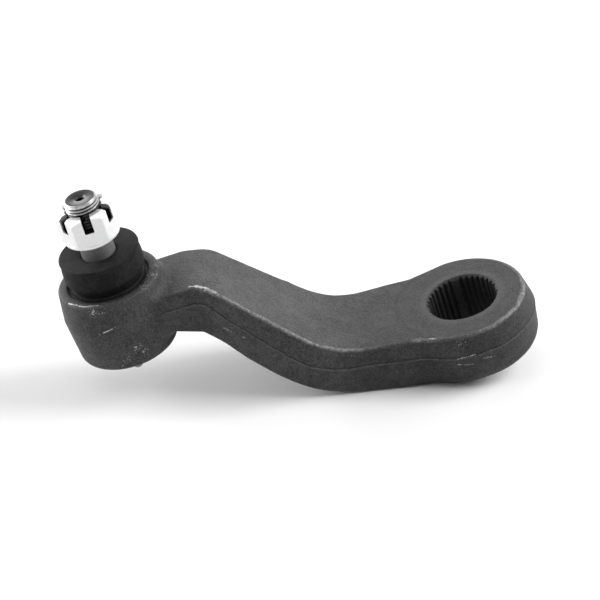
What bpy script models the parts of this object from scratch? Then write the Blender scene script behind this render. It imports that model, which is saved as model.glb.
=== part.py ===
"""A forged pitman arm with its ball joint: a serrated eye for the steering gear's shaft at one end,
a ball stud with boot and slotted nut at the other.

The origin is the centre of the serrated bore, in the plane of the eye's top face. +Z runs along the
bore towards the stud's side, and the ball joint lies towards -X. Metres.
"""

import math

import bmesh
import bpy
import numpy as np

MM = 0.001

# Clearances
GAP = 0.3 * MM
CUT_PAST = 2.0 * MM

# The arm as a whole
CENTRE_DISTANCE = 140.8 * MM
BALL_HEIGHT = 52.5 * MM
JOINT_LEAN = math.radians(2.2)
FLASH_HEIGHT = 0.35 * MM
FLASH_HALF_WIDTH = 0.7 * MM

# Eye
EYE_RADIUS = 30.1 * MM
EYE_THICKNESS = 27.6 * MM
SERRATION_DIVISIONS = 36
SERRATION_BLANKS = 4
SERRATION_FLANK_SHARE = 0.34
SERRATION_TIP_RADIUS = 14.95 * MM
SERRATION_ROOT_RADIUS = 15.9 * MM

# Shank, seen from above at the parting line
NECK_HALF_WIDTH = 17.2 * MM
NECK_FROM_BALL = 36.8 * MM
SHOULDER_HALF_WIDTH = 21.0 * MM
SHOULDER_FROM_BALL = 44.3 * MM
SHANK_HALF_WIDTH = 24.7 * MM
SHANK_FROM_BORE = 72.0 * MM
SHANK_WAIST_HALF_WIDTH = 23.3 * MM
SHANK_WAIST_FROM_BORE = 46.0 * MM
FLARE_HALF_WIDTH = 24.7 * MM
FLARE_FROM_BORE = 24.0 * MM
FLARE_MEETS_EYE_FROM_BORE = 7.0 * MM
NECK_BEND_RADIUS = 10.0 * MM
SHANK_BEND_RADIUS = 30.0 * MM

# Shank, seen from the side
TOP_FLAT_FROM_BORE = 19.0 * MM
TOP_FOOT_FROM_BORE = 58.9 * MM
TOP_FOOT_RISE = 7.6 * MM
TOP_HEAD_FROM_BALL = 39.2 * MM
TOP_ABOVE_BALL = 4.8 * MM
TOP_FOOT_RADIUS = 45.0 * MM
TOP_EYE_RADIUS = 10.0 * MM
TOP_HEAD_RADIUS = 20.0 * MM
UNDER_FLAT_FROM_BORE = 14.8 * MM
UNDER_FOOT_FROM_BORE = 74.0 * MM
UNDER_FOOT_RISE = 16.9 * MM
UNDER_HEAD_FROM_BALL = 27.2 * MM
UNDER_BELOW_BALL = 13.6 * MM
UNDER_FOOT_RADIUS = 74.0 * MM
UNDER_EYE_RADIUS = 14.0 * MM
UNDER_HEAD_RADIUS = 8.0 * MM
PARTING_EYE_DEPTH = 10.3 * MM
PARTING_EYE_FROM_BORE = 15.0 * MM
PARTING_FOOT_FROM_BORE = 69.4 * MM
PARTING_FOOT_HEIGHT = 2.4 * MM
PARTING_HEAD_FROM_BALL = 34.6 * MM
PARTING_BELOW_BALL = 1.6 * MM
PARTING_FOOT_RADIUS = 40.0 * MM
PARTING_HEAD_RADIUS = 10.0 * MM
BARREL_FILLET = 4.0 * MM
ROOT_SINK = 0.8 * MM

# Draft angles and edge roundings at four places along X, from the slope to the eye's far side
SECTION_PLACES = (-70.0 * MM, -35.0 * MM, 0.0, 30.0 * MM)
UPPER_DRAFTS = (math.radians(2.5), math.radians(6.0), math.radians(4.0), math.radians(12.0))
LOWER_DRAFTS = (math.radians(4.0), math.radians(4.0), math.radians(4.2), math.radians(2.2))
TOP_EDGE_RADII = (2.0 * MM, 1.3 * MM, 1.3 * MM, 1.3 * MM)
UNDER_EDGE_RADII = (3.2 * MM, 3.2 * MM, 7.5 * MM, 7.8 * MM)

# Ball-joint housing, heights from the ball's centre along the stud
RIM_HEIGHT = 13.5 * MM
BASE_DEPTH = 20.5 * MM
HOUSING_RADIUS = 23.25 * MM
RIM_RADIUS = 22.0 * MM
BASE_RADIUS = 21.6 * MM
RIM_ROUNDING = 1.7 * MM
BASE_ROUNDING = 2.7 * MM
MOUTH_RADIUS = 12.4 * MM
SHELF_HEIGHT = 8.3 * MM
SEAT_WALL = 1.7 * MM
LIP_THICKNESS = 1.5 * MM
LIP_OVERLAP = 1.2 * MM

# Ball stud, its ball sized by the housing's depth
BALL_SHARE = 0.6195
BALL_RADIUS = BALL_SHARE * BASE_DEPTH
WAIST_RADIUS = 6.6 * MM
SHOULDER_HEIGHT = 21.0 * MM
TAPER_RADIUS = 7.6 * MM
TAPER_START = 22.5 * MM
TAPER_END = 34.0 * MM
THREAD_RADIUS = 7.15 * MM
THREAD_RELIEF = 0.9 * MM
THREAD_RELIEF_DEPTH = 0.3 * MM
STUD_END = 53.6 * MM
END_CHAMFER = 0.85 * MM
CENTRE_HOLE_RADIUS = 1.5 * MM
CENTRE_HOLE_DEPTH = 4.0 * MM
CENTRE_SINK_DEPTH = 0.9 * MM
PIN_HOLE_RADIUS = 1.8 * MM
PIN_HOLE_FROM_END = 6.2 * MM
PIN_HOLE_AZIMUTH = math.radians(-105.0)

# Slotted nut
NUT_SEAT = 35.0 * MM
NUT_HEIGHT = 14.2 * MM
NUT_FLATS = 22.4 * MM
NUT_COLLAR_RADIUS = 11.7 * MM
NUT_COLLAR_HEIGHT = 1.3 * MM
NUT_WASHER_FACE = 0.5 * MM
NUT_TOP_RADIUS = 10.2 * MM
NUT_CHAMFER_ANGLE = math.radians(32.0)
NUT_SLOTS = 3
NUT_SLOT_WIDTH = 4.0 * MM
NUT_SLOT_DEPTH = 6.9 * MM
NUT_AZIMUTH = math.radians(-88.5)

# Dust boot
BOOT_RADIUS = 17.4 * MM
BOOT_TOP_HEIGHT = 27.5 * MM
BOOT_DISH_RADIUS = 11.5 * MM
BOOT_DISH_DEPTH = 0.9 * MM
BOOT_SKIRT_HEIGHT = 16.4 * MM
BOOT_WALL = 3.2 * MM
BOOT_FOOT_RADIUS = 15.4 * MM
BOOT_ROUNDING = 0.8 * MM

# Seats, spring and cover
SEAT_TOP_HEIGHT = 8.0 * MM
UPPER_SEAT_BOTTOM = 0.6 * MM
LOWER_SEAT_TOP = 2.5 * MM
GREASE_HOLE_RADIUS = 1.6 * MM
SPRING_OUTER_RADIUS = 11.5 * MM
SPRING_INNER_RADIUS = 5.0 * MM
COVER_HOLE_RADIUS = 3.3 * MM

# How cover, spring and seat share the room between the rolled lip and the ball, clearances aside
COVER_SHARE = 0.47
SPRING_SHARE = 0.295
SPRING_METAL_SHARE = 0.175

# Grease fitting
FITTING_FLATS = 8.0 * MM
FITTING_HEX_HEIGHT = 4.5 * MM
FITTING_STEM_RADIUS = 2.1 * MM
FITTING_NECK_LENGTH = 5.6 * MM
FITTING_HEAD_RADIUS = 3.2 * MM
FITTING_HEAD_LENGTH = 4.5 * MM
FITTING_TIP_RADIUS = 1.9 * MM
FITTING_BORE_RADIUS = 1.35 * MM
FITTING_MOUTH_RADIUS = 0.7 * MM
FITTING_MOUTH_DEPTH = 0.8 * MM
FITTING_CRIMP_RADIUS = 0.6 * MM
FITTING_CRIMP_LENGTH = 0.8 * MM
CHECK_BALL_RADIUS = 1.0 * MM
CHECK_SPRING_WIRE = 0.14 * MM
CHECK_SPRING_TURNS = 9

# Mesh fineness
SHANK_STATIONS = 44
EYE_STATIONS = 18
ROOT_STATIONS = 5
ROOT_PASSES = 4
BEND_POINTS = 13
EDGE_STEPS = 3
TURNED_STEPS = 48
SMALL_STEPS = 24
TINY_STEPS = 16
SPRING_POINTS_PER_TURN = 8

# Heights that follow from the sizes above
SOCKET_FLOOR = -BASE_DEPTH + LIP_THICKNESS
COVER_BOTTOM = SOCKET_FLOOR + GAP
SEAT_SPHERE = BALL_RADIUS + GAP
SOCKET_RADIUS = SEAT_SPHERE + SEAT_WALL
ROOM_UNDER_BALL = -SEAT_SPHERE - COVER_BOTTOM - 2 * GAP
COVER_TOP = COVER_BOTTOM + COVER_SHARE * ROOM_UNDER_BALL
SPRING_BOTTOM = COVER_TOP + GAP
SPRING_TOP = SPRING_BOTTOM + SPRING_SHARE * ROOM_UNDER_BALL
LOWER_SEAT_BOTTOM = SPRING_TOP + GAP
HEX_TOP = COVER_BOTTOM - GAP
HEX_BOTTOM = HEX_TOP - FITTING_HEX_HEIGHT
NECK_BOTTOM = HEX_BOTTOM - FITTING_NECK_LENGTH
FITTING_TIP = NECK_BOTTOM - FITTING_HEAD_LENGTH
CHAMBER_BOTTOM = FITTING_TIP + FITTING_MOUTH_DEPTH
CHAMBER_TOP = COVER_TOP - FITTING_CRIMP_LENGTH
CHECK_BALL_CENTRE = CHAMBER_BOTTOM + GAP + CHECK_BALL_RADIUS


def clear_scene():
    for obj in list(bpy.data.objects):
        bpy.data.objects.remove(obj, do_unlink=True)


def new_collection(name):
    collection = bpy.data.collections.new(name)
    bpy.context.scene.collection.children.link(collection)
    return collection


def finish_material(name, colour, roughness, metallic):
    material = bpy.data.materials.new(name)
    material.use_nodes = True
    shader = material.node_tree.nodes["Principled BSDF"]
    shader.inputs["Base Color"].default_value = (*colour, 1.0)
    shader.inputs["Roughness"].default_value = roughness
    shader.inputs["Metallic"].default_value = metallic
    return material


def add_object(name, mesh, collection, parent=None, material=None):
    obj = bpy.data.objects.new(name, mesh)
    collection.objects.link(obj)
    obj.parent = parent
    if material:
        mesh.materials.append(material)
    return obj


def as_cutter(obj):
    obj.hide_render = True
    obj.display_type = "WIRE"
    return obj


def boolean(obj, operation, other):
    modifier = obj.modifiers.new(operation.lower() + "_" + other.name, "BOOLEAN")
    modifier.operation = operation
    modifier.solver = "EXACT"
    modifier.object = other


def mesh_from_bmesh(name, bm):
    mesh = bpy.data.meshes.new(name)
    bm.to_mesh(mesh)
    bm.free()
    return mesh


def arc(radius, start, end, steps, centre=(0.0, 0.0)):
    """Points (r, z) on an arc round centre, from the start angle to the end angle, in degrees."""
    angles = np.radians(np.linspace(start, end, steps + 1))
    return [(centre[0] + radius * math.cos(a), centre[1] + radius * math.sin(a)) for a in angles]


def turned(name, profile, collection, parent=None, material=None, steps=TURNED_STEPS, ring=False):
    """A turned body: the (r, z) profile runs down its outer side, and a ring's profile comes back up."""
    mesh = bpy.data.meshes.new(name)
    points = [(r, 0.0, z) for r, z in profile]
    edges = [(i, i + 1) for i in range(len(points) - 1)]
    if ring:
        edges.append((len(points) - 1, 0))
    mesh.from_pydata(points, edges, [])
    obj = add_object(name, mesh, collection, parent, material)
    screw = obj.modifiers.new("turn", "SCREW")
    screw.axis = "Z"
    screw.steps = steps
    screw.render_steps = steps
    screw.use_merge_vertices = True
    screw.merge_threshold = 1e-5
    screw.use_smooth_shade = True
    return obj


def rod(name, radius, low, high, collection, parent=None, material=None, segments=SMALL_STEPS):
    """A plain cylinder along Z from low to high."""
    bm = bmesh.new()
    bmesh.ops.create_cone(
        bm, cap_ends=True, segments=segments, radius1=radius, radius2=radius, depth=high - low
    )
    bmesh.ops.translate(bm, vec=(0.0, 0.0, (high + low) / 2), verts=bm.verts)
    return add_object(name, mesh_from_bmesh(name, bm), collection, parent, material)


def hexagon(name, flats, low, high, azimuth, collection, parent=None, material=None):
    """A hexagonal bar along Z with one flat facing the azimuth."""
    bm = bmesh.new()
    corner_radius = flats / 2 / math.cos(math.pi / 6)
    bmesh.ops.create_cone(
        bm, cap_ends=True, segments=6, radius1=corner_radius, radius2=corner_radius, depth=high - low
    )
    bm.verts.ensure_lookup_table()
    corner = bm.verts[0].co
    turn = azimuth + math.pi / 6 - math.atan2(corner.y, corner.x)
    turning = np.array(
        [[math.cos(turn), -math.sin(turn)], [math.sin(turn), math.cos(turn)]]
    )
    for vert in bm.verts:
        vert.co.x, vert.co.y = turning @ np.array([vert.co.x, vert.co.y])
        vert.co.z += (high + low) / 2
    return add_object(name, mesh_from_bmesh(name, bm), collection, parent, material)


def rounded_line(corners):
    """Ascending x and the heights of a polyline whose inner corners are rounded.

    Each corner is (x, height, radius). The arc at a corner touches both of its lines.
    """
    points = [corners[0][:2]]
    for before, corner, after in zip(corners, corners[1:], corners[2:]):
        here = np.array(corner[:2])
        back = np.array(before[:2]) - here
        ahead = np.array(after[:2]) - here
        back = back / np.linalg.norm(back)
        ahead = ahead / np.linalg.norm(ahead)
        half = math.acos(np.clip(back @ ahead, -1.0, 1.0)) / 2
        if math.pi / 2 - half < 1e-6:
            points.append(tuple(here))
            continue
        middle = (back + ahead) / np.linalg.norm(back + ahead)
        centre = here + middle * corner[2] / math.sin(half)
        start = here + back * corner[2] / math.tan(half) - centre
        end = here + ahead * corner[2] / math.tan(half) - centre
        turn = math.atan2(start[0] * end[1] - start[1] * end[0], start @ end)
        for share in np.linspace(0.0, 1.0, BEND_POINTS):
            a = turn * share
            points.append(
                (
                    centre[0] + start[0] * math.cos(a) - start[1] * math.sin(a),
                    centre[1] + start[0] * math.sin(a) + start[1] * math.cos(a),
                )
            )
    points.append(corners[-1][:2])
    table = np.array(sorted(points))
    return table[:, 0], table[:, 1]


BALL_X = -CENTRE_DISTANCE
ARM_END_X = BALL_X - HOUSING_RADIUS
ARM_TOP = BALL_HEIGHT + TOP_ABOVE_BALL
ARM_UNDER = BALL_HEIGHT - UNDER_BELOW_BALL

TOP_LINE = rounded_line(
    [
        (ARM_END_X, ARM_TOP, 0.0),
        (BALL_X + TOP_HEAD_FROM_BALL, ARM_TOP, TOP_HEAD_RADIUS),
        (-TOP_FOOT_FROM_BORE, TOP_FOOT_RISE, TOP_FOOT_RADIUS),
        (-TOP_FLAT_FROM_BORE, 0.0, TOP_EYE_RADIUS),
        (EYE_RADIUS, 0.0, 0.0),
    ]
)
UNDER_LINE = rounded_line(
    [
        (ARM_END_X, ARM_UNDER, 0.0),
        (BALL_X + UNDER_HEAD_FROM_BALL, ARM_UNDER, UNDER_HEAD_RADIUS),
        (-UNDER_FOOT_FROM_BORE, UNDER_FOOT_RISE - EYE_THICKNESS, UNDER_FOOT_RADIUS),
        (-UNDER_FLAT_FROM_BORE, -EYE_THICKNESS, UNDER_EYE_RADIUS),
        (EYE_RADIUS, -EYE_THICKNESS, 0.0),
    ]
)
PARTING_LINE = rounded_line(
    [
        (ARM_END_X, BALL_HEIGHT - PARTING_BELOW_BALL, 0.0),
        (BALL_X + PARTING_HEAD_FROM_BALL, BALL_HEIGHT - PARTING_BELOW_BALL, PARTING_HEAD_RADIUS),
        (-PARTING_FOOT_FROM_BORE, PARTING_FOOT_HEIGHT, PARTING_FOOT_RADIUS),
        (-PARTING_EYE_FROM_BORE, -PARTING_EYE_DEPTH, PARTING_FOOT_RADIUS),
        (EYE_RADIUS, -PARTING_EYE_DEPTH, 0.0),
    ]
)


def top_height(x):
    return np.interp(x, *TOP_LINE)


def under_height(x):
    return np.interp(x, *UNDER_LINE)


def parting_height(x):
    return np.interp(x, *PARTING_LINE)


def plan_outline():
    """Stations (x, y) along the +Y side at the parting line, from the neck to the eye's far end."""
    touch = -FLARE_MEETS_EYE_FROM_BORE
    touch_y = math.sqrt(EYE_RADIUS**2 - touch**2)
    side = rounded_line(
        [
            (BALL_X, NECK_HALF_WIDTH, 0.0),
            (BALL_X + NECK_FROM_BALL, NECK_HALF_WIDTH, NECK_BEND_RADIUS),
            (BALL_X + SHOULDER_FROM_BALL, SHOULDER_HALF_WIDTH, NECK_BEND_RADIUS),
            (-SHANK_FROM_BORE, SHANK_HALF_WIDTH, SHANK_BEND_RADIUS),
            (-SHANK_WAIST_FROM_BORE, SHANK_WAIST_HALF_WIDTH, SHANK_BEND_RADIUS),
            (-FLARE_FROM_BORE, FLARE_HALF_WIDTH, SHANK_BEND_RADIUS),
            (touch, touch_y, 0.0),
        ]
    )
    x = np.linspace(BALL_X + HOUSING_RADIUS + 2 * BARREL_FILLET, touch, SHANK_STATIONS)
    angle = np.linspace(math.atan2(touch_y, touch), 0.0, EYE_STATIONS + 1)[1:]
    shank = np.stack([x, np.interp(x, *side)], 1)
    eye = EYE_RADIUS * np.stack([np.cos(angle), np.sin(angle)], 1)
    return np.concatenate([shank, eye])


def section_levels(x):
    """For stations at x, each level's inset from the parting outline, its height, and its direction.

    The levels run from the top face's edge round the upper edge, down the drafted upper side, over the
    trimmed flash at the parting line, and down the lower side to the bottom face's edge.
    """
    top, under, parting = top_height(x), under_height(x), parting_height(x)
    upper_inset = np.tan(np.interp(x, SECTION_PLACES, UPPER_DRAFTS)) * (top - parting)
    lower_inset = np.tan(np.interp(x, SECTION_PLACES, LOWER_DRAFTS)) * (parting - under)
    top_edge = np.interp(x, SECTION_PLACES, TOP_EDGE_RADII)
    under_edge = np.interp(x, SECTION_PLACES, UNDER_EDGE_RADII)
    levels = []
    for angle in np.radians(np.linspace(90.0, 0.0, EDGE_STEPS + 1)):
        inset = upper_inset + top_edge * (1 - math.cos(angle))
        height = top - top_edge * (1 - math.sin(angle))
        levels.append((inset, height, (math.cos(angle), math.sin(angle))))
    levels.append((0.0 * x, parting + FLASH_HALF_WIDTH, (1.0, 0.0)))
    levels.append((0.0 * x - FLASH_HEIGHT, parting, (1.0, 0.0)))
    levels.append((0.0 * x, parting - FLASH_HALF_WIDTH, (1.0, 0.0)))
    for angle in np.radians(np.linspace(0.0, -90.0, EDGE_STEPS + 1)):
        inset = lower_inset + under_edge * (1 - math.cos(angle))
        height = under + under_edge * (1 + math.sin(angle))
        levels.append((inset, height, (math.cos(angle), math.sin(angle))))
    return levels


def housing_radius_at(z):
    """The housing's outer radius at a height, widest at the ball's centre."""
    heights = [BALL_HEIGHT - BASE_DEPTH, BALL_HEIGHT, BALL_HEIGHT + RIM_HEIGHT]
    return np.interp(z, heights, [BASE_RADIUS, HOUSING_RADIUS, RIM_RADIUS])


def housing_wall_x(y, z):
    """Where the housing's wall, on the eye's side, lies at a given y and height."""
    axis_x = BALL_X + (z - BALL_HEIGHT) * math.tan(JOINT_LEAN)
    return axis_x + np.sqrt(np.maximum(housing_radius_at(z) ** 2 - y**2, 0.0))


def shank_rings():
    """Rings of points for the shank and eye's +Y half, from the plane y = 0 on top to that below."""
    outline = plan_outline()
    along = np.gradient(outline, axis=0)
    along[-1] = (0.0, -1.0)
    along = along / np.linalg.norm(along, axis=1)[:, None]
    outward = np.stack([-along[:, 1], along[:, 0]], 1)
    rings = [outline - outward * inset[:, None] for inset, _, _ in section_levels(outline[:, 0])]
    top_x = rings[0][:, 0]
    under_x = rings[-1][:, 0]
    columns = [np.stack([top_x, 0.0 * top_x, top_height(top_x)], 1)]
    for i, ring in enumerate(rings):
        height = section_levels(ring[:, 0])[i][1]
        columns.append(np.column_stack([ring, height]))
    columns.append(np.stack([under_x, 0.0 * under_x, under_height(under_x)], 1))
    return np.array(columns).transpose(1, 0, 2)


def root_rings():
    """Rings that flare from the neck into the housing's wall, as a fillet of BARREL_FILLET round it."""
    neck_x = np.array([BALL_X + HOUSING_RADIUS])
    levels = section_levels(neck_x)
    y = [0.0] + [NECK_HALF_WIDTH - float(inset[0]) for inset, _, _ in levels] + [0.0]
    directions = [(0.0, 1.0)] + [direction for _, _, direction in levels] + [(0.0, -1.0)]
    y = np.array(y)
    directions = np.array(directions)
    rings = []
    for i, angle in enumerate(np.radians(np.linspace(0.0, 90.0, ROOT_STATIONS + 1))):
        spread = BARREL_FILLET * (1 - math.sin(angle))
        away = BARREL_FILLET * (1 - math.cos(angle))
        if i == 0:
            away = -ROOT_SINK
        x = np.full(len(y), float(neck_x[0]))
        for _ in range(ROOT_PASSES):
            side = y + directions[:, 0] * spread
            z = section_heights(x) + directions[:, 1] * spread
            x = housing_wall_x(side, z) + away
        rings.append(np.stack([x, side, z], 1))
    return np.array(rings)


def section_heights(x):
    """The height of each point of a ring whose points have their own x."""
    levels = section_levels(x[1:-1])
    middle = [float(level[1][i]) for i, level in enumerate(levels)]
    return np.array([float(top_height(x[0]))] + middle + [float(under_height(x[-1]))])


def shank_mesh(name):
    """The shank and eye's +Y half, open at the plane y = 0 and capped inside the housing."""
    rings = np.concatenate([root_rings(), shank_rings()])
    bm = bmesh.new()
    verts = [[bm.verts.new(point) for point in ring] for ring in rings.tolist()]
    for row, following in zip(verts, verts[1:]):
        for j in range(len(row) - 1):
            bm.faces.new((row[j], following[j], following[j + 1], row[j + 1]))
    bm.faces.new(verts[0])
    bmesh.ops.remove_doubles(bm, verts=bm.verts, dist=1e-6)
    return mesh_from_bmesh(name, bm)


def serration_cutter(cutters):
    """A toothed bar whose ridges cut the bore's grooves; four wide lands are left for the key teeth."""
    step = 2 * math.pi / SERRATION_DIVISIONS
    blank_every = SERRATION_DIVISIONS // SERRATION_BLANKS
    flat = []
    for i in range(SERRATION_DIVISIONS):
        for share in (-0.5, -SERRATION_FLANK_SHARE, 0.0, SERRATION_FLANK_SHARE):
            grooved = i % blank_every and share == 0.0
            radius = SERRATION_ROOT_RADIUS if grooved else SERRATION_TIP_RADIUS
            angle = (i + share) * step
            flat.append((radius * math.cos(angle), radius * math.sin(angle)))
    low, high = -EYE_THICKNESS - CUT_PAST, CUT_PAST
    bm = bmesh.new()
    face = bm.faces.new([bm.verts.new((x, y, low)) for x, y in flat])
    face.normal_flip()
    raised = bmesh.ops.extrude_face_region(bm, geom=[face])["geom"]
    moved = [v for v in raised if isinstance(v, bmesh.types.BMVert)]
    bmesh.ops.translate(bm, vec=(0.0, 0.0, high - low), verts=moved)
    bmesh.ops.recalc_face_normals(bm, faces=bm.faces)
    mesh = mesh_from_bmesh("serration_cutter", bm)
    return as_cutter(add_object("serration_cutter", mesh, cutters))


def build_arm(parts, cutters, joint, material):
    """The forging: shank and eye lofted in one, joined to the turned housing, then bored."""
    arm = add_object("arm_forging", shank_mesh("arm_forging"), parts, None, material)
    mirror = arm.modifiers.new("both_sides", "MIRROR")
    mirror.use_axis = (False, True, False)
    mirror.use_clip = True
    mirror.merge_threshold = 1e-5

    corner_r = RIM_RADIUS - RIM_ROUNDING
    base_r = BASE_RADIUS - BASE_ROUNDING
    housing = [(0.0, RIM_HEIGHT)]
    housing += arc(RIM_ROUNDING, 90, 0, EDGE_STEPS, (corner_r, RIM_HEIGHT - RIM_ROUNDING))
    housing += [(HOUSING_RADIUS, 0.0)]
    housing += arc(BASE_ROUNDING, 0, -90, EDGE_STEPS, (base_r, -BASE_DEPTH + BASE_ROUNDING))
    housing += [(0.0, -BASE_DEPTH)]
    body = as_cutter(turned("housing_body", housing, cutters, joint))

    lip_r = SOCKET_RADIUS - LIP_OVERLAP
    slope = (MOUTH_RADIUS - mouth_radius_at_shelf()) / (RIM_HEIGHT - SHELF_HEIGHT)
    socket = [
        (0.0, RIM_HEIGHT + CUT_PAST),
        (MOUTH_RADIUS + slope * CUT_PAST, RIM_HEIGHT + CUT_PAST),
        (mouth_radius_at_shelf(), SHELF_HEIGHT),
        (SOCKET_RADIUS, SHELF_HEIGHT),
        (SOCKET_RADIUS, SOCKET_FLOOR),
        (lip_r, SOCKET_FLOOR),
        (lip_r, -BASE_DEPTH - CUT_PAST),
        (0.0, -BASE_DEPTH - CUT_PAST),
    ]
    hollow = as_cutter(turned("socket_cutter", socket, cutters, joint))
    boolean(arm, "UNION", body)
    boolean(arm, "DIFFERENCE", serration_cutter(cutters))
    boolean(arm, "DIFFERENCE", hollow)
    return arm


def mouth_radius_at_shelf():
    """The narrow end of the housing's mouth, just wider than the ball under the waist needs."""
    return math.sqrt(SEAT_SPHERE**2 - SEAT_TOP_HEIGHT**2) + GAP


def build_stud(parts, cutters, joint, material):
    """The ball stud: threaded end, taper, waist and ball, with its centre hole and cross hole."""
    thread_r = THREAD_RADIUS
    waist_angle = math.degrees(math.acos(WAIST_RADIUS / BALL_RADIUS))
    profile = [(0.0, STUD_END), (thread_r - END_CHAMFER, STUD_END)]
    profile += [(thread_r, STUD_END - END_CHAMFER), (thread_r, TAPER_END + THREAD_RELIEF)]
    profile += [(thread_r - THREAD_RELIEF_DEPTH, TAPER_END)]
    profile += [(TAPER_RADIUS, TAPER_START), (WAIST_RADIUS, SHOULDER_HEIGHT)]
    profile += arc(BALL_RADIUS, waist_angle, -90, TINY_STEPS)
    stud = turned("ball_stud", profile, parts, joint, material)

    sink = CENTRE_SINK_DEPTH
    centre = [
        (0.0, STUD_END + CUT_PAST),
        (CENTRE_HOLE_RADIUS + sink + CUT_PAST, STUD_END + CUT_PAST),
        (CENTRE_HOLE_RADIUS, STUD_END - sink),
        (CENTRE_HOLE_RADIUS, STUD_END - CENTRE_HOLE_DEPTH),
        (0.0, STUD_END - CENTRE_HOLE_DEPTH - CENTRE_HOLE_RADIUS),
    ]
    bit = as_cutter(turned("centre_drill", centre, cutters, joint, steps=TINY_STEPS))
    boolean(stud, "DIFFERENCE", bit)
    reach = thread_r + CUT_PAST
    drill = as_cutter(
        rod("pin_drill", PIN_HOLE_RADIUS, -reach, reach, cutters, joint, segments=TINY_STEPS)
    )
    drill.location = (0.0, 0.0, STUD_END - PIN_HOLE_FROM_END)
    drill.rotation_euler = (0.0, math.pi / 2, PIN_HOLE_AZIMUTH)
    boolean(stud, "DIFFERENCE", drill)
    return stud


def build_nut(parts, cutters, joint, material):
    """The slotted nut: a hexagon on a round collar, chamfered at both ends, with three cross slots."""
    top = NUT_SEAT + NUT_HEIGHT
    hex_low = NUT_SEAT + NUT_WASHER_FACE
    nut = hexagon("castle_nut", NUT_FLATS, hex_low, top, NUT_AZIMUTH, parts, joint, material)
    corner = NUT_FLATS / 2 / math.cos(math.pi / 6)
    beyond = corner + CUT_PAST
    rise = math.tan(NUT_CHAMFER_ANGLE)
    envelope = [
        (0.0, top + CUT_PAST),
        (NUT_TOP_RADIUS - CUT_PAST / rise, top + CUT_PAST),
        (beyond, top - (beyond - NUT_TOP_RADIUS) * rise),
        (beyond, hex_low + beyond - NUT_COLLAR_RADIUS),
        (NUT_COLLAR_RADIUS - CUT_PAST, hex_low - CUT_PAST),
        (0.0, hex_low - CUT_PAST),
    ]
    boolean(nut, "INTERSECT", as_cutter(turned("nut_envelope", envelope, cutters, joint)))
    collar_top = NUT_SEAT + NUT_COLLAR_HEIGHT
    collar = rod(
        "nut_collar", NUT_COLLAR_RADIUS, NUT_SEAT, collar_top, cutters, joint, segments=TURNED_STEPS
    )
    boolean(nut, "UNION", as_cutter(collar))
    for i in range(NUT_SLOTS):
        bm = bmesh.new()
        bmesh.ops.create_cube(bm, size=1.0)
        height = NUT_SLOT_DEPTH + CUT_PAST
        bmesh.ops.scale(bm, vec=(2 * beyond, NUT_SLOT_WIDTH, height), verts=bm.verts)
        name = "nut_slot_%d" % i
        slot = as_cutter(add_object(name, mesh_from_bmesh(name, bm), cutters, joint))
        slot.location = (0.0, 0.0, top - NUT_SLOT_DEPTH + height / 2)
        slot.rotation_euler = (0.0, 0.0, NUT_AZIMUTH + i * math.pi / NUT_SLOTS)
        boolean(nut, "DIFFERENCE", slot)
    bore = rod(
        "nut_bore",
        THREAD_RADIUS + GAP,
        NUT_SEAT - CUT_PAST,
        top + CUT_PAST,
        cutters,
        joint,
        segments=TURNED_STEPS,
    )
    boolean(nut, "DIFFERENCE", as_cutter(bore))
    return nut


def stud_radius_at(height):
    """The stud's radius on its taper and thread."""
    heights = [TAPER_START, TAPER_END, TAPER_END + THREAD_RELIEF]
    radii = [TAPER_RADIUS, THREAD_RADIUS - THREAD_RELIEF_DEPTH, THREAD_RADIUS]
    return float(np.interp(height, heights, radii))


def build_boot(parts, joint, material):
    """The dust boot: a thick skirt on a narrower foot, with a dished flat top that grips the taper."""
    foot = RIM_HEIGHT + GAP
    dish = BOOT_TOP_HEIGHT - BOOT_DISH_DEPTH
    roof = BOOT_TOP_HEIGHT - BOOT_WALL
    grip_top = stud_radius_at(dish) + GAP
    grip_low = stud_radius_at(roof) + GAP
    inner = BOOT_FOOT_RADIUS - BOOT_WALL
    rounded = BOOT_RADIUS - BOOT_ROUNDING
    profile = [(grip_top, dish), (BOOT_DISH_RADIUS, BOOT_TOP_HEIGHT)]
    profile += arc(BOOT_ROUNDING, 90, 0, 3, (rounded, BOOT_TOP_HEIGHT - BOOT_ROUNDING))
    profile += arc(BOOT_ROUNDING, 0, -90, 3, (rounded, BOOT_SKIRT_HEIGHT + BOOT_ROUNDING))
    profile += [
        (BOOT_FOOT_RADIUS, BOOT_SKIRT_HEIGHT),
        (BOOT_FOOT_RADIUS, foot),
        (inner, foot),
        (inner, roof),
        (grip_low, roof),
    ]
    return turned("dust_boot", profile, parts, joint, material, ring=True)


def build_seats(parts, joint, upper_material, lower_material):
    """The ring above the ball and the cup below it, both with a spherical seat."""
    outer = SOCKET_RADIUS - GAP
    top_angle = math.degrees(math.asin(SEAT_TOP_HEIGHT / SEAT_SPHERE))
    low_angle = math.degrees(math.asin(UPPER_SEAT_BOTTOM / SEAT_SPHERE))
    ring = [(outer, SEAT_TOP_HEIGHT), (outer, UPPER_SEAT_BOTTOM)]
    ring += arc(SEAT_SPHERE, low_angle, top_angle, 6)
    turned("upper_bearing", ring, parts, joint, upper_material, ring=True)

    cup_angle = math.degrees(math.asin(-LOWER_SEAT_TOP / SEAT_SPHERE))
    hole_angle = -math.degrees(math.acos(GREASE_HOLE_RADIUS / SEAT_SPHERE))
    cup = [(outer, -LOWER_SEAT_TOP), (outer, LOWER_SEAT_BOTTOM), (GREASE_HOLE_RADIUS, LOWER_SEAT_BOTTOM)]
    cup += arc(SEAT_SPHERE, hole_angle, cup_angle, 9)
    turned("lower_seat", cup, parts, joint, lower_material, ring=True)


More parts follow.
